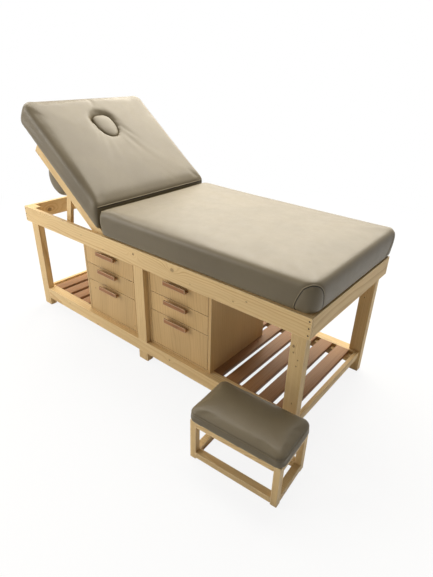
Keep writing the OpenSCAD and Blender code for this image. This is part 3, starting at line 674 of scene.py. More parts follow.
def stitch_tree(name):
    """Stitches laid end to end along a line of points."""
    tree, b, takes, gives = growing_tree(name, [
        ("Pitch", "Float", 0.006), ("Radius", "Float", 0.00045), ("Seed", "Int", 7)])
    line = b.add("GeometryNodeMeshToCurve", {"Mesh": takes["Geometry"]}).outputs[0]
    spaced = b.add("GeometryNodeResampleCurve", {"Curve": line})
    if hasattr(spaced, "mode"):
        spaced.mode = "LENGTH"
    b.feed(spaced.inputs["Length"], takes["Pitch"])
    length = b.math("MULTIPLY", takes["Pitch"], 0.66)
    one = b.add("GeometryNodeMeshCylinder", {"Vertices": 6, "Radius": takes["Radius"], "Depth": length})
    tangent = b.add("GeometryNodeInputTangent").outputs[0]
    turn = b.add("FunctionNodeAlignRotationToVector", {"Vector": tangent}, axis="Z").outputs[0]
    placed = b.add("GeometryNodeInstanceOnPoints", {
        "Points": spaced.outputs[0], "Instance": one.outputs[0], "Rotation": turn,
        "Scale": b.chance(takes["Seed"], 0.85, 1.1)})
    return ended(tree, b, takes, gives, placed.outputs[0])


TREE_NAMES = {
    slat_tree: "Slat row",
    stud_tree: "Stud heads",
    welt_tree: "Sewn welt",
    stitch_tree: "Stitch row",
}


def chain(lines):
    """Points and edges of several open or closed lines, each (points, closed)."""
    points, edges = [], []
    for line, closed in lines:
        start = len(points)
        points += [tuple(p) for p in line]
        edges += [(start + i, start + i + 1) for i in range(len(line) - 1)]
        if closed:
            edges.append((start + len(line) - 1, start))
    return points, edges


def rounded_rectangle(x0, x1, y, low_r, high_r, steps=9):
    """Plan of a pad from x0 to x1 and -y to y, with its own corner radius at each end."""
    corners = [(x1 - high_r, -y + high_r, high_r, -90), (x1 - high_r, y - high_r, high_r, 0),
               (x0 + low_r, y - low_r, low_r, 90), (x0 + low_r, -y + low_r, low_r, 180)]
    points = []
    for cx, cy, r, start in corners:
        for i in range(steps + 1):
            a = math.radians(start + 90 * i / steps)
            points.append((cx + r * math.cos(a), cy + r * math.sin(a)))
    return points


# A cushion's side from its underside up: shares of its draw-in, and of its height under the rounded edge
PAD_SIDE = [(1, 0), (0.6, 0.2), (0.25, 0.45), (0.05, 0.7), (0, 0.88), (0, 1)]
STOOL_SIDE = [(0.8, 0), (0.15, 0.1), (0.35, 0.35), (1, 0.72), (0.55, 1)]


def side_rows(shares, t, edge, crown, draw_in):
    """Inset and height of a cushion's side, from its underside to the end of its rounded top edge."""
    top = t - crown - edge
    rows = [(share * draw_in, height * top) for share, height in shares]
    for i in range(1, 8):
        a = math.radians(90 * i / 7)
        rows.append((edge * (1 - math.cos(a)), top + edge * math.sin(a)))
    return rows


# How far in toward the middle each ring of a cushion's crown lies
CROWN_STEPS = (0.15, 0.3, 0.45, 0.6, 0.75, 0.87, 0.95)


def crown_rows(t, edge, crown, reach):
    """Inset and height of a cushion's crowned top, from its rounded edge to near its middle."""
    return [(edge + s * (reach - edge), t - crown + crown * (1 - (1 - s) ** 2)) for s in CROWN_STEPS]


def loft(name, rings, place):
    """A closed skin over rings of equal length."""
    n = len(rings[0])
    points = [place(*p) for ring in rings for p in ring]
    faces = [
        (j * n + i, j * n + (i + 1) % n, (j + 1) * n + (i + 1) % n, (j + 1) * n + i)
        for j in range(len(rings) - 1)
        for i in range(n)
    ]
    faces.append(tuple(reversed(range(n))))
    faces.append(tuple((len(rings) - 1) * n + i for i in range(n)))
    mesh = bpy.data.meshes.new(name)
    mesh.from_pydata([tuple(p) for p in points], [], faces)
    work = bmesh.new()
    work.from_mesh(mesh)
    bmesh.ops.remove_doubles(work, verts=work.verts, dist=1e-5)
    bmesh.ops.recalc_face_normals(work, faces=work.faces)
    work.to_mesh(mesh)
    work.free()
    return mesh


# How much smaller than the finished pad its form starts, and the edge radius of its flat end
PAD_SHRINK = 0.002
FLAT_EDGE = 0.016


def pad_rings(x0, lean, x1, t):
    """Rings of a pad with a flat end at x0, which leans by lean for each unit of height."""
    p = pads()
    half = p.half_width - PAD_SHRINK
    side = side_rows(PAD_SIDE, t - PAD_SHRINK, p.edge, p.crown, p.tuck)
    rows = side + crown_rows(t - PAD_SHRINK, p.edge, p.crown, half)
    rings = []
    for i, (inset, height) in enumerate(rows):
        if i < len(PAD_SIDE):
            flat_in = 0.0
        elif i < len(side):
            flat_in = FLAT_EDGE * inset / p.edge
        else:
            flat_in = FLAT_EDGE + inset - p.edge
        start, end = x0 + PAD_SHRINK + lean * height + flat_in, x1 - PAD_SHRINK - inset
        plan = rounded_rectangle(start, end, half - inset,
                                 max(0.003, FLAT_EDGE - inset), max(0.004, p.corner - inset))
        rings.append([(x, y, height) for x, y in plan])
    return rings


def coords(mesh):
    """The places of a mesh's points, one row each."""
    co = np.zeros(len(mesh.vertices) * 3)
    mesh.vertices.foreach_get("co", co)
    return co.reshape(-1, 3)


def normals(mesh):
    """The normals at a mesh's points, one row each."""
    no = np.zeros(len(mesh.vertices) * 3)
    mesh.vertices.foreach_get("normal", no)
    return no.reshape(-1, 3)


def put_coords(mesh, co):
    """Moves a mesh's points to new places."""
    mesh.vertices.foreach_set("co", np.ascontiguousarray(co, dtype=np.float32).ravel())
    mesh.update()


def baked(piece):
    """Applies a loose piece's modifiers to its mesh."""
    bpy.context.view_layer.update()
    mesh = evaluated(piece)
    piece.modifiers.clear()
    piece.data = mesh
    return piece


# Shares of the way to its neighbours that a point moves in one round and back in the next
RELAX_IN, RELAX_OUT = 0.6, -0.35


def relaxed(mesh, rounds, keep=None):
    """Evens out a mesh by moving each point toward its neighbours, apart from kept points."""
    co = coords(mesh)
    pairs = np.zeros(len(mesh.edges) * 2, dtype=np.int64)
    mesh.edges.foreach_get("vertices", pairs)
    pairs = pairs.reshape(-1, 2)
    count = np.zeros(len(co))
    np.add.at(count, pairs[:, 0], 1)
    np.add.at(count, pairs[:, 1], 1)
    free = 1.0 if keep is None else (1.0 - keep)[:, None]
    for k in range(rounds):
        total = np.zeros_like(co)
        np.add.at(total, pairs[:, 0], co[pairs[:, 1]])
        np.add.at(total, pairs[:, 1], co[pairs[:, 0]])
        step = RELAX_OUT if k % 2 else RELAX_IN
        co = co + free * step * (total / count[:, None] - co)
    put_coords(mesh, co)


# The short cloth run that stuffs a cushion
CLOTH_FRAMES = 20
CLOTH = dict(use_pressure=True, uniform_pressure_force=4.0, vertex_group_mass="held", quality=4,
             tension_stiffness=20, compression_stiffness=20, bending_stiffness=1.5)
# Share of the furthest move that a cushion's free cover stands out on average
FULL_SHARE = 0.8


def blown_up(piece, weight):
    """Where cloth pressure moves each point of a cushion, the held ones apart."""
    group = piece.vertex_groups.new(name="held")
    for level in (0.25, 0.5, 0.75, 1.0):
        chosen = np.nonzero(np.abs(weight - level) < 0.125)[0]
        if len(chosen):
            group.add([int(i) for i in chosen], level, "REPLACE")
    cloth = piece.modifiers.new("Stuffing", "CLOTH")
    for key, value in CLOTH.items():
        setattr(cloth.settings, key, value)
    cloth.settings.effector_weights.gravity = 0.0
    cloth.collision_settings.use_collision = False
    cloth.point_cache.frame_start, cloth.point_cache.frame_end = 1, CLOTH_FRAMES
    for step in range(1, CLOTH_FRAMES + 1):
        bpy.context.scene.frame_set(step)
    blown = evaluated(piece)
    end = coords(blown)
    bpy.data.meshes.remove(blown)
    piece.modifiers.clear()
    bpy.context.scene.frame_set(1)
    piece.vertex_groups.clear()
    return end - coords(piece.data)


def stuffed(name, mesh, voxel, held, cap, cutter=None):
    """Remeshes a cushion's form, blows it up with cloth pressure against its held places, and smooths it."""
    piece = linked(name, mesh)
    if cutter is not None:
        tool = linked(name + "_cutter", cutter)
        cut = piece.modifiers.new("Cut", "BOOLEAN")
        cut.operation, cut.solver, cut.object = "DIFFERENCE", "EXACT", tool
        baked(piece)
        bpy.data.objects.remove(tool)
    remesh = piece.modifiers.new("Remesh", "REMESH")
    remesh.mode, remesh.voxel_size, remesh.use_smooth_shade = "VOXEL", voxel, True
    baked(piece)
    relaxed(piece.data, 6)
    start = coords(piece.data)
    weight = held(start)
    move, fullness = 0.0, FULL_SHARE * cap
    move = blown_up(piece, weight)
    far = np.maximum(np.linalg.norm(move, axis=1), 1e-9)
    move *= (cap * np.tanh(far / cap) / far)[:, None]
    outward = np.sum(move * normals(piece.data), axis=1)
    fullness -= float(np.mean(outward[weight < 0.1]))
    put_coords(piece.data, start + move + normals(piece.data) * (fullness * (1 - weight))[:, None])
    relaxed(piece.data, 8, keep=np.clip(weight, 0, 0.9))
    return piece


def subdivided(piece):
    """Divides a cushion's faces once more."""
    finer = piece.modifiers.new("Finer", "SUBSURF")
    finer.levels = finer.render_levels = 1
    return baked(piece)


def covered(piece, body, node):
    """Gives a cushion its vinyl and body, in the CAD solid's place."""
    for face in piece.data.polygons:
        face.use_smooth = True
    paint(piece, finish_of("pad_vinyl", vinyl))
    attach(piece, body)
    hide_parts(node)


def on_skin(piece, points):
    """The places on a piece's surface nearest to the points."""
    places = [v.co.copy() for v in piece.data.vertices]
    skin = BVHTree.FromPolygons(places, [tuple(f.vertices) for f in piece.data.polygons])
    return [skin.find_nearest(point)[0] for point in points]


class Seam:
    """A sewn line on a body; a dark one is a near-black tube, the painted shadow in the gap beside a welt."""

    def __init__(self, body, line, closed, radius=None, stitched=False, dark=False):
        self.body, self.line, self.closed = body, [Vector(p) for p in line], closed
        self.radius, self.stitched, self.dark = radius or pads().welt, stitched, dark


SEAMS = []


def seam(*args, **given):
    """Keeps a sewn line for the operator that lays the welts and stitches."""
    SEAMS.append(Seam(*args, **given))


# Step between the points of a seam, how far a pad's piping lies from its gap, and stitches over their welt
SEAM_STEP = 0.006
PIPING_AWAY = 0.0042
STITCH_RISE = 0.0035
# How far a corner seam draws the cover in, and over what distance
ARCH_DENT, ARCH_REACH = 0.0016, 0.0055


def arch_seam(piece, low_near, top, low_end, inside):
    """A sewn arch where a plane through three points cuts the pad's cover; the cover is drawn in along it."""
    plane = (low_end - low_near).cross(top - low_near).normalized()
    co, no = coords(piece.data), normals(piece.data)
    off = (co - np.array(low_near)) @ np.array(plane)
    put_coords(piece.data, co - no * (inside(co) * ARCH_DENT * np.exp(-(off / ARCH_REACH) ** 2))[:, None])
    work = bmesh.new()
    work.from_mesh(piece.data)
    geom = work.verts[:] + work.edges[:] + work.faces[:]
    cut = bmesh.ops.bisect_plane(work, geom=geom, plane_co=low_near, plane_no=plane)["geom_cut"]
    places = [v.co.copy() for v in cut if isinstance(v, bmesh.types.BMVert)]
    places = [place for place in places if inside(np.array([place[:]]))[0] > 0.5]
    work.free()
    if len(places) < 8:
        raise RuntimeError("the corner seam's plane misses the pad")
    middle = (low_near + low_end) / 2
    out = (low_near - middle).normalized()
    up = plane.cross(out)
    if up.dot(top - middle) < 0:
        up = -up
    places.sort(key=lambda place: math.atan2((place - middle).dot(up), (place - middle).dot(out)))
    points = even_line(places, SEAM_STEP)
    toward = plane if plane.z > 0 else -plane
    return points, on_skin(piece, [point + toward * PIPING_AWAY for point in points])


def even_line(points, step, closed=False):
    """The same line with points a step apart."""
    pts = [Vector(p) for p in points] + ([Vector(points[0])] if closed else [])
    lengths = [0.0]
    for p, q in zip(pts, pts[1:]):
        lengths.append(lengths[-1] + (q - p).length)
    count = max(2, int(lengths[-1] / step))
    made, k = [], 0
    for i in range(count + (0 if closed else 1)):
        s = lengths[-1] * i / count
        while k < len(pts) - 2 and lengths[k + 1] < s:
            k += 1
        span = max(1e-9, lengths[k + 1] - lengths[k])
        made.append(pts[k].lerp(pts[k + 1], (s - lengths[k]) / span))
    return made


# The camera's place from the bed's middle line and the floor, and its azimuth, elevation and roll
CAMERA_AT = (1.4970, -1.5956, 1.4438)
CAMERA_TURNS = (38.72, 27.86, 1.57)
WHITE = (1, 1, 1, 1)
# The floor: half its side, its colour, and over what distance from the bed it shows how much white
FLOOR_HALF = 14.0
FLOOR_COLOUR = (0.86, 0.86, 0.85, 1)
WHITE_FROM_TO, WHITE_SHARES = (1.3, 3.5), (0.88, 1.0)
# Each lamp: its place, what it looks at, its width and depth, and its colour
LAMPS = [
    ("Overhead", (-0.5, 1.4, 3.3), (0, 0, 0.5), (3.4, 3.0), (1.0, 0.96, 0.87)),
    ("Window", (-1.6, 3.9, 2.7), (-0.1, 0.0, 0.7), (5.0, 2.6), (1.0, 0.94, 0.80)),
    ("Front", (-2.6, -3.0, 2.0), (-0.2, -0.1, 0.4), (2.2, 2.2), (1.0, 0.97, 0.93)),
    ("Side", (-3.1, -0.2, 3.3), (0.2, -1.1, 0.3), (1.8, 1.8), (1.0, 0.97, 0.90)),
]


def seen_plainly(b):
    """1 where the camera, a reflection or glass sees the surface, 0 for the light that it throws."""
    rays = b.add("ShaderNodeLightPath").outputs
    mirrored = b.math("MAXIMUM", rays["Is Glossy Ray"], rays["Is Transmission Ray"])
    return b.math("MAXIMUM", rays["Is Camera Ray"], mirrored)


def add_camera(scene, lens):
    """The camera at the photo's viewing angle."""
    data = bpy.data.cameras.new("Camera")
    data.sensor_width, data.lens, data.clip_start, data.clip_end = 36.0, lens, 0.05, 60.0
    scene.camera = linked("Camera", data)
    az, el, roll = map(math.radians, CAMERA_TURNS)
    back = Vector((math.sin(az) * math.cos(el), -math.cos(az) * math.cos(el), math.sin(el)))
    right = (-back).cross(Vector((0, 0, 1))).normalized()
    up = right.cross(-back)
    rolled = (right * math.cos(roll) + up * math.sin(roll), up * math.cos(roll) - right * math.sin(roll))
    turn = Matrix((*rolled, back)).transposed().to_4x4()
    scene.camera.matrix_world = Matrix.Translation(on_bed(*CAMERA_AT)) @ turn


def add_floor():
    """A pale matt floor that keeps the shadow and shows white further off."""
    mesh = bpy.data.meshes.new("Floor")
    corners = [(x * FLOOR_HALF, y * FLOOR_HALF, 0) for x, y in ((-1, -1), (1, -1), (1, 1), (-1, 1))]
    mesh.from_pydata(corners, [], [(0, 1, 2, 3)])
    floor = linked("Floor", mesh)
    pale = bpy.data.materials.new("Pale floor")
    b = bench_of(pale)
    matt = b.add("ShaderNodeBsdfDiffuse", {"Color": FLOOR_COLOUR}).outputs[0]
    white = b.add("ShaderNodeEmission", {"Color": WHITE, "Strength": 1.0}).outputs[0]
    share = b.ease(b.length(b.place()), *WHITE_FROM_TO, *WHITE_SHARES)
    shown = b.math("MULTIPLY", seen_plainly(b), share)
    mixed = b.add("ShaderNodeMixShader", {0: shown, 1: matt, 2: white}).outputs[0]
    b.add("ShaderNodeOutputMaterial", {"Surface": mixed})
    paint(floor, pale)


def add_sky(scene, sky):
    """A world that is white where it is seen and gives only a little even light."""
    scene.world = bpy.data.worlds.new("Studio")
    b = bench_of(scene.world)
    strength = b.math("MULTIPLY_ADD", seen_plainly(b), 1.0 - sky, sky)
    glow = b.add("ShaderNodeBackground", {"Color": WHITE, "Strength": strength})
    b.add("ShaderNodeOutputWorld", {"Surface": glow.outputs[0]})


def add_lamp(name, power, at, toward, extent, colour):
    """A soft lamp that looks from one place toward another."""
    lamp = bpy.data.lights.new(name, "AREA")
    lamp.shape, lamp.energy, lamp.color = "RECTANGLE", power, colour
    lamp.size, lamp.size_y = extent
    holder = linked(name, lamp)
    holder.location = on_bed(*at)
    holder.rotation_euler = (on_bed(*toward) - on_bed(*at)).to_track_quat("-Z", "Y").to_euler()


class SPABED_OT_stage(bpy.types.Operator):
    """Makes the floor, the lamps, the even sky and the camera"""

    bl_idname = "spabed.stage"
    bl_label = "Stage"

    def execute(self, context):
        scene, stage = context.scene, context.scene.spa_bed_stage
        scene.view_settings.view_transform = "Standard"
        add_camera(scene, stage.lens)
        add_floor()
        add_sky(scene, stage.sky)
        for name, *given in LAMPS:
            add_lamp(name, getattr(stage, name.lower()), *given)
        return {"FINISHED"}


# Knots: place from the bed's middle line, radius, how far the rings are pushed aside, darkness of the core
RAIL_KNOTS = [((-0.800, -0.370, 0.628), 0.016, 0.052, 0.0), ((0.007, -0.370, 0.616), 0.007, -0.030, 0.9),
              ((0.262, -0.370, 0.615), 0.0105, 0.024, 0.8), ((0.60, -0.370, 0.585), 0.004, 0.012, 0.7)]
LOWER_KNOTS = [((0.209, -0.351, 0.090), 0.005, 0.008, 1.0), ((-0.374, -0.351, 0.058), 0.005, 0.008, 1.0),
               ((-0.64, -0.351, 0.095), 0.004, 0.008, 0.8)]
HEAD_KNOTS = [((-0.927, -0.226, 0.593), 0.014, 0.02, 1.0), ((-0.927, 0.03, 0.60), 0.005, 0.012, 0.8)]
LEG_KNOTS = [((0.878, -0.351, 0.490), 0.006, 0.010, 1.0), ((0.880, -0.351, 0.462), 0.004, 0.006, 1.0),
             ((0.902, -0.351, 0.435), 0.0035, 0.006, 1.0), ((0.898, -0.351, 0.405), 0.0035, 0.006, 1.0)]
MARKED = {
    "rail_near": dict(knots=RAIL_KNOTS, waver=0.03),
    "rail_head": dict(knots=HEAD_KNOTS),
    "lower_rail_near": dict(knots=LOWER_KNOTS),
    "leg_foot_near": dict(knots=LEG_KNOTS, specks=0.4),
}

# Frame boards: the grain's direction, the ring width, and the pith's place and lean across the grain
BOARDS = {
    "rail_near": (ALONG_X, 0.0085, (0.20, -0.600), (0.012, 0.020)),
    "rail_far": (ALONG_X, 0.007, (-0.58, -0.57), (0.01, -0.02)),
    "rail_head": (ALONG_Y, 0.0055, (0.85, -0.60), (0.02, 0.05)),
    "rail_foot": (ALONG_Y, 0.0065, (-1.02, -0.56), (0.01, 0.03)),
    "lower_rail_near": (ALONG_X, 0.009, (0.24, -0.150), (0.01, 0.02)),
    "lower_rail_far": (ALONG_X, 0.007, (-0.60, -0.10), (0.01, 0.02)),
    "lower_rail_head": (ALONG_Y, 0.006, (0.86, -0.09), (0.02, 0.02)),
    "lower_rail_foot": (ALONG_Y, 0.006, (-0.99, -0.14), (0.01, 0.03)),
    "leg_head_near": (ALONG_Z, 0.006, (0.25, 0.93), (0.02, 0.012)),
    "leg_head_far": (ALONG_Z, 0.0055, (-0.55, 0.94), (0.01, 0.012)),
    "leg_mid_near": (ALONG_Z, 0.006, (0.24, 0.02), (0.01, 0.03)),
    "leg_mid_far": (ALONG_Z, 0.006, (-0.54, 0.03), (0.01, 0.03)),
    "leg_foot_near": (ALONG_Z, 0.005, (0.26, -0.86), (0.02, 0.01)),
    "leg_foot_far": (ALONG_Z, 0.0055, (-0.56, -0.85), (0.02, 0.01)),
    "stiles": (ALONG_Z, 0.007, (0.23, 0.02), (0.01, 0.02)),
    "slat_ledgers": (ALONG_X, 0.006, (0.1, -0.1), (0.02, 0.01)),
    "cross_rails": (ALONG_Y, 0.006, (0.05, -0.1), (0.02, 0.01)),
    "hinge_rail": (ALONG_Y, 0.006, (0.1, -0.65), (0.02, 0.01)),
    "top_bearers": (ALONG_Y, 0.006, (0.1, -0.65), (0.02, 0.01)),
    "prop_seats": (ALONG_X, 0.005, (0.1, -0.55), (0.02, 0.01)),
    "back_member_near": (ALONG_BACK, 0.007, (0.23, 0.1), (0.02, 0.02)),
    "back_member_far": (ALONG_BACK, 0.007, (-0.5, 0.1), (0.02, 0.01)),
    "back_cross_hinge": (ALONG_Y, 0.006, (0.3, -0.6), (0.02, 0.01)),
    "back_cross_middle": (ALONG_Y, 0.006, (0.5, -0.8), (0.02, 0.01)),
    "prop_leg_near": (ALONG_PROP, 0.005, (0.2, 0.5), (0.02, 0.01)),
    "prop_leg_far": (ALONG_PROP, 0.005, (-0.5, 0.5), (0.02, 0.01)),
}
# Width of the eased edge of thin sheet stock
SHEET_EASE = 0.0008


class SPABED_OT_frame_boards(bpy.types.Operator):
    """Dresses the rails, legs, ledgers, cross rails, bearers and plywood boards"""

    bl_idname = "spabed.frame_boards"
    bl_label = "Frame boards"

    def execute(self, context):
        for node, (grain, ring, pith, lean) in BOARDS.items():
            marked = MARKED.get(node, {})
            material = finish_of(node + "_pine", wood, PINE, grain, ring=ring, pith=pith, lean=lean, **marked)
            eased_board(node, node + "_board", material)
        rod = finish_of("prop_rod_pine", wood, PINE, ALONG_Y, pith=(0.5, -0.8), ring=0.004)
        eased_board("prop_rod", "prop_rod_turned", rod, least=0.1)
        for node in ("base_board", "backrest_board"):
            eased_board(node, node + "_ply", finish_of("plywood", plywood), width=SHEET_EASE)
        return {"FINISHED"}


class SPABED_OT_slats(bpy.types.Operator):
    """Lays the row of floor slats"""

    bl_idname = "spabed.slats"
    bl_label = "Slats"

    def execute(self, context):
        parts = islands("slats")
        points = [[(a + c) / 2 for a, c in zip(low, high)] for low, high in parts]
        half = [(high[1] - low[1]) / 2 for low, high in parts]
        low, high = parts[-1]
        # The slat finish is darkened as painted shade under the bed
        material = finish_of("slat_pine", wood, SLAT_WOOD_SHADED, ALONG_Y, pith=(0.03, 0.02), lean=(0.02, 0.03),
                             spread=0.4)
        mesh = grow("slat_row", slat_tree, points, [], {"half": half}, {
            "Width": high[0] - low[0], "Thickness": high[2] - low[2], "Rounding": sizes().slat_round,
            "Seed": 3, "Finish": material})
        piece = new_piece("slat_row", mesh, BODY_OF["slats"], material, ["slats"])
        if abs(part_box("slats")[0].z - min(v.co.z for v in piece.data.vertices)) > 0.002:
            raise RuntimeError("the slats don't lie where the CAD's do")
        return {"FINISHED"}


def islands(node):
    """Lowest and highest corners of each loose part of a CAD node."""
    work = bmesh.new()
    work.from_mesh(NODES[node].data)
    bmesh.ops.remove_doubles(work, verts=work.verts, dist=1e-5)
    left, found = set(work.verts), []
    while left:
        todo, part = [left.pop()], []
        while todo:
            v = todo.pop()
            part.append(v.co.copy())
            for edge in v.link_edges:
                other = edge.other_vert(v)
                if other in left:
                    left.remove(other)
                    todo.append(other)
        found.append(tuple([limit(p[k] for p in part) for k in range(3)] for limit in (min, max)))
    work.free()
    return sorted(found)


class SPABED_OT_nails(bpy.types.Operator):
    """Sets the nail heads in the side boards"""

    bl_idname = "spabed.nails"
    bl_label = "Nails"

    def execute(self, context):
        points, about = [], []
        for low, high in islands("frame_nails"):
            near = low[1] < BED.y
            points.append(((low[0] + high[0]) / 2, low[1] if near else high[1], (low[2] + high[2]) / 2))
            about.append(math.pi / 2 if near else -math.pi / 2)
        material = finish_of("nail_steel", steel, "nail")
        tall = 0.0016
        mesh = grow("nail_heads", stud_tree, points, [], {"about_x": about, "about_y": [0.0] * len(points)}, {
            "Radius": sizes().nail_head, "Height": tall, "Sink": tall - sizes().nail_proud,
            "Finish": material})
        new_piece("nail_heads", mesh, "frame", material, ["frame_nails"])
        return {"FINISHED"}


class SPABED_OT_hinges(bpy.types.Operator):
    """Finishes the hinges and sets their screws"""

    bl_idname = "spabed.hinges"
    bl_label = "Hinges"

    def execute(self, context):
        material = finish_of("hinge_steel", steel)
        for node in ("hinge_leaves_fixed", "hinge_leaves_back"):
            eased_board(node, node + "_plate", material, width=0.0004, least=0.012)
        paint(NODES["hinge_pins"], material)
        leaf_y, leaf_face = 0.220, HINGE_X + 0.001
        points = [
            on_bed(leaf_face, side * leaf_y + across, RAIL_TOP - HINGE_DROP - down)
            for side in (-1, 1)
            for across, down in ((-0.02, 0.025), (0.0, 0.015), (0.02, 0.025))
        ]
        turns = {"about_x": [0.0] * len(points), "about_y": [-math.pi / 2] * len(points)}
        mesh = grow("hinge_screws", stud_tree, points, [], turns, {
            "Radius": sizes().screw_head, "Height": 0.0009, "Sink": 0.0003, "Finish": material})
        new_piece("hinge_screws", mesh, "frame", material)
        return {"FINISHED"}


class SPABED_OT_cabinets(bpy.types.Operator):
    """Dresses the cabinets, their runners, the drawers and the finger pulls"""

    bl_idname = "spabed.cabinets"
    bl_label = "Cabinets"

    def execute(self, context):
        figure = dict(ring=0.011, waver=0.05, strength=0.6, specks=0.02)
        carcass = finish_of("cabinet_veneer", wood, VENEER, ALONG_Z, pith=(0.3, 0.2), lean=(0.03, 0.02),
                            **figure)
        panels = finish_of("panel_veneer", wood, VENEER, ALONG_X, pith=(0.3, -0.3), **figure)
        runners = finish_of("runner_ply", wood, VENEER, ALONG_Y, pith=(0.5, 3.0), ring=0.0015, waver=0.0005)
        lip = finish_of("pull_wood", wood, PULL_WOOD, ALONG_X, pith=(0.34, -0.4), lean=(0.03, 0.02),
                        ring=0.004, waver=0.02, strength=1.3, specks=0.0, rough=0.38)
        eased_board("cab_sides", "cabinet_sides", carcass, width=SHEET_EASE)
        eased_board("cab_left_panels", "cabinet_left_panels", panels, width=SHEET_EASE)
        eased_board("cab_right_panels", "cabinet_right_panels", panels, width=SHEET_EASE)
        eased_board("drawer_runners", "drawer_runner_strips", runners, width=0.0006)
        for column, centre, lean in (("l", -0.250, 0.05), ("r", 0.250, -0.04)):
            fronts = finish_of("front_veneer_" + column, wood, VENEER, ALONG_Z,
                               pith=(0.43, -centre - BED.x + 0.03), lean=(0.06, lean),
                               ring=0.012, waver=0.06, strength=0.75, specks=0.03, spread=0.05)
            for drawer in (column + row for row in "123"):
                eased_board("drawer_" + drawer, "drawer_front_" + drawer, fronts, width=SHEET_EASE)
                eased_board("pull_" + drawer, "finger_pull_" + drawer, lip, width=0.0032)
        return {"FINISHED"}


# A pad's hinge welt: its radius, the radius of the dark tube painted as the shadow in its gap, and how far
# short of the pad's sides it stops
HINGE_WELT, HINGE_GAP_SHADOW, WELT_SHORT = 0.0026, 0.0018, 0.014


def hinge_seam(piece, body, x, height, to_gap):
    """A welt across a pad's top at the hinge line, with a dark tube on its lower side, the painted shadow of
    the gap.
    """
    p = pads()
    half = p.half_width - WELT_SHORT
    line = [on_bed(x, p.shift + y, RAIL_TOP + height) for y in np.linspace(-half, half, 90)]
    seam(body, on_skin(piece, line), False, HINGE_WELT)
    seam(body, on_skin(piece, [point + Vector(to_gap) for point in line]), False, HINGE_GAP_SHADOW, dark=True)


# A pad is held up to these distances from its underside and its flat end, and in part for a little more
HELD_LOW, HELD_END, HELD_FADE = 0.006, 0.008, 0.02


def held_pad(height, end):
    """How firmly a pad's points are held, by their height over its underside and way from its flat end."""
    weight = np.where((height < HELD_LOW) | (end < HELD_END), 1.0, 0.0)
    return np.maximum(weight, np.clip(1 - (height - HELD_LOW) / HELD_FADE, 0, 1) * 0.5)


class SPABED_OT_base_pad(bpy.types.Operator):
    """Upholsters the base pad, with sewn arches round its foot corners"""

    bl_idname = "spabed.base_pad"
    bl_label = "Base pad"

    def execute(self, context):
        p = pads()
        head, foot = -0.230, 0.957

        def place(x, y, z):
            return on_bed(x, y + p.shift + p.growth * max(0.0, y) / p.half_width, RAIL_TOP + z)

        def held(co):
            return held_pad(co[:, 2] - RAIL_TOP, co[:, 0] - BED.x - head)

        mesh = loft("base_pad_cover", pad_rings(head, 0.0, foot, p.thickness), place)
        piece = stuffed("base_pad_cover", mesh, 0.0115, held, p.swell)
        subdivided(piece)
        for side in (-1, 1):
            def inside(co, side=side):
                y = (co[:, 1] - BED.y - p.shift) * side
                return ((co[:, 0] > BED.x + 0.83) & (y > 0.265) & (co[:, 2] > RAIL_TOP + 0.002)).astype(float)

            near = on_bed(0.852, p.shift + side * 0.382, RAIL_TOP)
            top = on_bed(0.935, p.shift + side * 0.364, RAIL_TOP + 0.125)
            end = on_bed(0.947, p.shift + side * 0.297, RAIL_TOP)
            gap, piping = arch_seam(piece, near, top, end, inside)
            # A dark tube along the corner seam's gap: painted shadow
            seam("frame", gap, False, 0.0017, dark=True)
            seam("frame", piping, False)
        hinge_seam(piece, "frame", head + 0.008, 0.1275, (0, 0, -0.0048))
        covered(piece, "frame", "base_pad")
        return {"FINISHED"}


# The backrest's length, the middle of its face hole, and how far that reaches to the head, hinge and sides
BACK_LENGTH = 0.790
HOLE_MIDDLE = 0.573
HOLE_HEAD, HOLE_FOOT, HOLE_HALF = 0.077, 0.082, 0.062


def hole_outline(draw, count=64):
    """Outline of the face hole, drawn in by draw: nearly straight toward the head, narrower to the hinge."""
    points = []
    for i in range(count):
        a = math.tau * i / count
        c, s = math.cos(a), math.sin(a)
        if c > 0:
            u = (HOLE_HEAD - draw) * abs(c) ** (2 / 3.0)
            y = (HOLE_HALF - draw) * math.copysign(abs(s) ** (2 / 3.0), s)
        else:
            u = (HOLE_FOOT - draw) * c
            y = (HOLE_HALF - draw) * math.copysign(abs(s) ** 0.9, s) * (1 - 0.12 * c * c)
        points.append((HOLE_MIDDLE + u, y + pads().shift))
    return points


def back_places(co):
    """The points' own u, y and w on the raised backrest, as on_back takes them."""
    c, s = math.cos(BACK_ANGLE), math.sin(BACK_ANGLE)
    d = co - np.array(HINGE)
    return np.stack([-d[:, 0] * c + d[:, 2] * s, d[:, 1], d[:, 0] * s + d[:, 2] * c], 1)


def from_hole(q):
    """How far each point of the backrest is from the hole's outline, up to a metre."""
    outline = np.array(hole_outline(0.0, 160))
    gap = np.full(len(q), 1.0)
    for start in range(0, len(outline), 20):
        part = outline[start:start + 20]
        gap = np.minimum(gap, np.min(np.linalg.norm(q[:, None, :2] - part[None], axis=2), axis=1))
    return gap


# How deep the cover is drawn in round the plug and in the dimple on its head side, and over what distance
ROUND_DEPTH, ROUND_REACH = 0.0035, 0.012
DIMPLE_DEPTH, DIMPLE_REACH = 0.013, 0.026


def drawn_in(piece):
    """Draws the cover down round the plug, deepest in a dimple on its head side."""
    co = coords(piece.data)
    q = back_places(co)
    gap = from_hole(q)
    top = np.clip((q[:, 2] - BACK_LIFT - 0.085) / 0.03, 0, 1)
    headward = np.clip((q[:, 0] - HOLE_MIDDLE) / 0.06, -1, 1)
    pinch = np.clip(headward, 0, 1) * np.clip(1.15 - (q[:, 1] - pads().shift) / 0.09, 0, 1)
    sink = ROUND_DEPTH * np.exp(-(gap / ROUND_REACH) ** 2)
    sink = top * (sink + DIMPLE_DEPTH * pinch * np.exp(-(gap / DIMPLE_REACH) ** 2))
    put_coords(piece.data, co - sink[:, None] * np.array([math.sin(BACK_ANGLE), 0, math.cos(BACK_ANGLE)]))


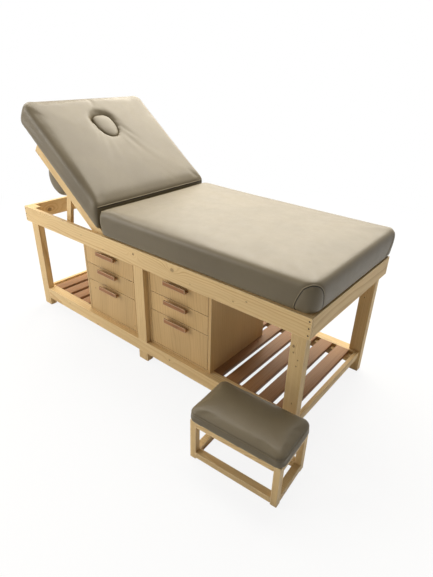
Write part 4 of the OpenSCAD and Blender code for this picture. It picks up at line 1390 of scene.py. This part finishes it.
def plug_cushion():
    """The plug in the face hole: its sides ripple a little, and its top is low and round."""
    aside = 0.0008
    low = BACK_LIFT + 0.0125
    t = BACK_LIFT + pads().back_thickness - 0.006 - low
    rows = [(0.003, 0.0), (0.0015, 0.12 * t), (0.0025, 0.45 * t), (0.001, 0.76 * t), (0.0, t - 0.012),
            (0.0015, t - 0.0065), (0.005, t - 0.003), (0.013, t), (0.025, t + 0.003), (0.040, t + 0.005),
            (0.054, t + 0.0058)]
    rings = [
        [(u + aside, y + aside, low + height) for u, y in hole_outline(0.0006 + inset)]
        for inset, height in rows
    ]

    def held(co):
        return np.where(back_places(co)[:, 2] < low + 0.05, 1.0, 0.0)

    cushion = stuffed("face_plug_cover", loft("face_plug_cover", rings, on_back), 0.0042, held, 0.003)
    subdivided(cushion)
    covered(cushion, "face_plug", "face_plug")


class SPABED_OT_backrest_pad(bpy.types.Operator):
    """Upholsters the backrest pad with its face hole, and the plug cushion in it"""

    bl_idname = "spabed.backrest_pad"
    bl_label = "Backrest pad"

    def execute(self, context):
        p = pads()
        c, s = math.cos(BACK_ANGLE), math.sin(BACK_ANGLE)
        thick = p.back_thickness
        board, clear, hinge_set = 0.019, 0.001, 0.003
        low_u = (board + clear - hinge_set + BACK_LIFT * s) / c
        top_u = (clear - hinge_set + (BACK_LIFT + thick) * s) / c
        lean = (top_u - low_u) / thick

        def place(u, y, w):
            side = p.shift + p.growth * max(0.0, y) / p.half_width
            return on_back(u + p.growth * max(0.0, u) / BACK_LENGTH, y + side, BACK_LIFT + w)

        def held(co):
            q = back_places(co)
            height = q[:, 2] - BACK_LIFT
            by_hole = np.clip(1 - from_hole(q) / 0.03, 0, 1)
            return np.maximum(held_pad(height, q[:, 0] - low_u - lean * height), by_hole)

        mesh = loft("backrest_cover", pad_rings(low_u, lean, BACK_LENGTH, thick), place)
        wide = hole_outline(-0.001)
        cutter = loft("hole_cutter", [[(u, y, w) for u, y in wide] for w in (-0.05, 0.2)], on_back)
        piece = stuffed("backrest_cover", mesh, 0.009, held, p.swell, cutter)
        subdivided(piece)
        drawn_in(piece)
        hinge_seam(piece, "backrest", -0.2358, 0.1415, (0.001, 0, -0.0048))
        covered(piece, "backrest", "backrest_pad")
        plug_cushion()
        return {"FINISHED"}


# The bolster: its middle on the backrest, its radius and half length, and where its straps pass
BOLSTER_U, BOLSTER_W = 0.472, -0.112
BOLSTER_RADIUS, BOLSTER_HALF = 0.1025, 0.300
STRAP_Y, STRAP_HALF = 0.165, 0.017


def on_bolster(r, y, a):
    """A point r from the bolster's middle line, turned by a about it."""
    return on_back(BOLSTER_U + r * math.cos(a), y, BOLSTER_W + r * math.sin(a))


def strap_near(co):
    """1 under a strap, falling to 0 beside it."""
    beside = np.maximum(np.abs(np.abs(co[:, 1] - BED.y) - STRAP_Y) - STRAP_HALF, 0)
    return np.exp(-(beside / 0.012) ** 2)


class SPABED_OT_bolster(bpy.types.Operator):
    """Upholsters the bolster under the backrest and gives its straps their webbing"""

    bl_idname = "spabed.bolster"
    bl_label = "Bolster"

    def execute(self, context):
        half, turn_steps = BOLSTER_HALF, 56
        end = [(0.012, -half), (0.05, -half + 0.002), (0.078, -half + 0.007), (0.092, -half + 0.017),
               (0.099, -half + 0.032)]
        body = [(BOLSTER_RADIUS - 0.003, y) for y in np.linspace(-half + 0.055, half - 0.055, 14)]
        rings = [
            [(r, y, math.tau * i / turn_steps) for i in range(turn_steps)]
            for r, y in end + body + [(r, -y) for r, y in reversed(end)]
        ]
        mesh = loft("bolster_cover", rings, on_bolster)
        piece = stuffed("bolster_cover", mesh, 0.0085, lambda co: np.round(strap_near(co) * 4) / 4, 0.005)
        subdivided(piece)
        co = coords(piece.data)
        out = co - np.array(on_bolster(0, 0, 0))
        out[:, 1] = 0
        far = np.linalg.norm(out, axis=1)
        pinch = strap_near(co) * np.clip(far - 0.098, 0, 1)
        put_coords(piece.data, co - out / np.maximum(far, 1e-6)[:, None] * pinch[:, None])
        covered(piece, "backrest", "bolster")
        for side in (-1, 1):
            turns = np.linspace(0, math.tau, 60, endpoint=False)
            seam("backrest", [on_bolster(0.0935, side * (half - 0.019), a) for a in turns], True, 0.0026)
        paint(NODES["bolster_straps"], finish_of("strap_webbing", webbing))
        return {"FINISHED"}


class SPABED_OT_stool(bpy.types.Operator):
    """Dresses the stool's frame and upholsters its cushion"""

    bl_idname = "spabed.stool"
    bl_label = "Stool"

    def execute(self, context):
        legs = finish_of("stool_leg_pine", wood, PINE, ALONG_Z, pith=(0.4, -0.7), lean=(0.03, 0.02),
                         ring=0.0045)
        rails = finish_of("stool_rail_pine", wood, PINE, ALONG_X, pith=(0.4, -0.2), lean=(0.02, 0.02),
                          ring=0.0045)
        eased_board("stool_legs", "stool_leg_bars", legs, width=0.003)
        eased_board("stool_rails", "stool_rail_bars", rails, width=0.0022)
        ply = finish_of("plywood", plywood)
        eased_board("stool_board", "stool_board_ply", ply, width=SHEET_EASE)
        t, half_x, half_y, corner, top = 0.060, 0.208, 0.121, 0.034, 0.200
        shrink, edge, crown = 0.0015, 0.017, 0.008
        rows = side_rows(STOOL_SIDE, t - shrink, edge, crown, 0.0025)
        rows += crown_rows(t - shrink, edge, crown, half_y)
        rings = []
        for inset, height in rows:
            end, round_end = half_x - shrink - inset, max(0.003, corner - inset)
            plan = rounded_rectangle(-end, end, half_y - shrink - inset, round_end, round_end)
            rings.append([(x, y, top + height) for x, y in plan])

        def held(co):
            height = co[:, 2] - top - 0.004
            return np.where(height < 0, 1.0, np.clip(1 - height / 0.01, 0, 1) * 0.5)

        piece = stuffed("stool_cover", loft("stool_cover", rings, on_stool), 0.006, held, 0.0045)
        subdivided(piece)
        seam_z = top + 0.60 * t
        co = coords(piece.data)
        dent = 0.0011 * np.exp(-((co[:, 2] - seam_z) / 0.0028) ** 2)
        put_coords(piece.data, co - normals(piece.data) * dent[:, None])
        covered(piece, "stool", "stool_cushion")
        plan = rounded_rectangle(-half_x, half_x, half_y, corner, corner, 14)
        hits = on_skin(piece, [on_stool(x, y, seam_z) for x, y in plan])
        line = [Vector((hit.x, hit.y, seam_z)) for hit in hits]
        seam("stool", even_line(line, SEAM_STEP, True), True, 0.0011, stitched=True)
        return {"FINISHED"}


class SPABED_OT_seams(bpy.types.Operator):
    """Lays the welts and stitches along the sewn lines"""

    bl_idname = "spabed.seams"
    bl_label = "Seams"

    def execute(self, context):
        p = pads()
        # Dark seams get near-black vinyl, painted shadow in the gaps; welts get a paler vinyl, a painted
        # highlight
        finish = {False: finish_of("welt_vinyl", vinyl, 1.5), True: finish_of("seam_gap", vinyl, 0.12)}
        sewing = finish_of("seam_thread", thread)
        for body in sorted({sewn.body for sewn in SEAMS}):
            own = [sewn for sewn in SEAMS if sewn.body == body]
            for radius, dark in sorted({(sewn.radius, sewn.dark) for sewn in own}):
                alike = [sewn for sewn in own if (sewn.radius, sewn.dark) == (radius, dark)]
                points, edges = chain([(sewn.line, sewn.closed) for sewn in alike])
                label = f"{'seam' if dark else 'welt'}_{body}_{round(radius * 10000)}"
                mesh = grow(label, welt_tree, points, edges, {}, {"Radius": radius, "Finish": finish[dark]})
                new_piece(label, mesh, body, finish[dark])
            stitched = [sewn for sewn in own if sewn.stitched]
            if stitched:
                rise = Vector((0, 0, STITCH_RISE))
                points, edges = chain([([q + rise for q in sewn.line], sewn.closed) for sewn in stitched])
                mesh = grow("stitches_" + body, stitch_tree, points, edges, {}, {
                    "Pitch": p.stitch, "Radius": 0.0005, "Seed": p.seed, "Finish": sewing})
                new_piece("stitches_" + body, mesh, body, sewing)
        return {"FINISHED"}


class SPABED_PT_panel(bpy.types.Panel):
    bl_idname = "SPABED_PT_panel"
    bl_label = "Spa bed"
    bl_space_type = "VIEW_3D"
    bl_region_type = "UI"
    bl_category = "Spa bed"

    def draw(self, context):
        scene = context.scene
        for group in (scene.spa_bed_frame, scene.spa_bed_pads, scene.spa_bed_finishes, scene.spa_bed_stage):
            box = self.layout.box()
            for key in group.bl_rna.properties.keys():
                if key not in ("rna_type", "name"):
                    box.prop(group, key)
        for operator in OPERATORS:
            self.layout.operator(operator.bl_idname)


GROUPS = [
    (SpaBedFrameSizes, "spa_bed_frame"),
    (SpaBedPadSizes, "spa_bed_pads"),
    (SpaBedFinishes, "spa_bed_finishes"),
    (SpaBedStage, "spa_bed_stage"),
]
OPERATORS = [
    SPABED_OT_stage,
    SPABED_OT_frame_boards,
    SPABED_OT_slats,
    SPABED_OT_nails,
    SPABED_OT_hinges,
    SPABED_OT_cabinets,
    SPABED_OT_base_pad,
    SPABED_OT_backrest_pad,
    SPABED_OT_bolster,
    SPABED_OT_stool,
    SPABED_OT_seams,
]


def register():
    for group, name in GROUPS:
        bpy.utils.register_class(group)
        setattr(bpy.types.Scene, name, PointerProperty(type=group))
    for operator in OPERATORS:
        bpy.utils.register_class(operator)
    bpy.utils.register_class(SPABED_PT_panel)


def unregister():
    bpy.utils.unregister_class(SPABED_PT_panel)
    for operator in reversed(OPERATORS):
        bpy.utils.unregister_class(operator)
    for group, name in reversed(GROUPS):
        delattr(bpy.types.Scene, name)
        bpy.utils.unregister_class(group)


def main():
    register()
    bpy.ops.spabed.stage()
    bpy.ops.spabed.frame_boards()
    bpy.ops.spabed.slats()
    bpy.ops.spabed.nails()
    bpy.ops.spabed.hinges()
    bpy.ops.spabed.cabinets()
    bpy.ops.spabed.base_pad()
    bpy.ops.spabed.backrest_pad()
    bpy.ops.spabed.bolster()
    bpy.ops.spabed.stool()
    bpy.ops.spabed.seams()


if __name__ == "__main__":
    main()
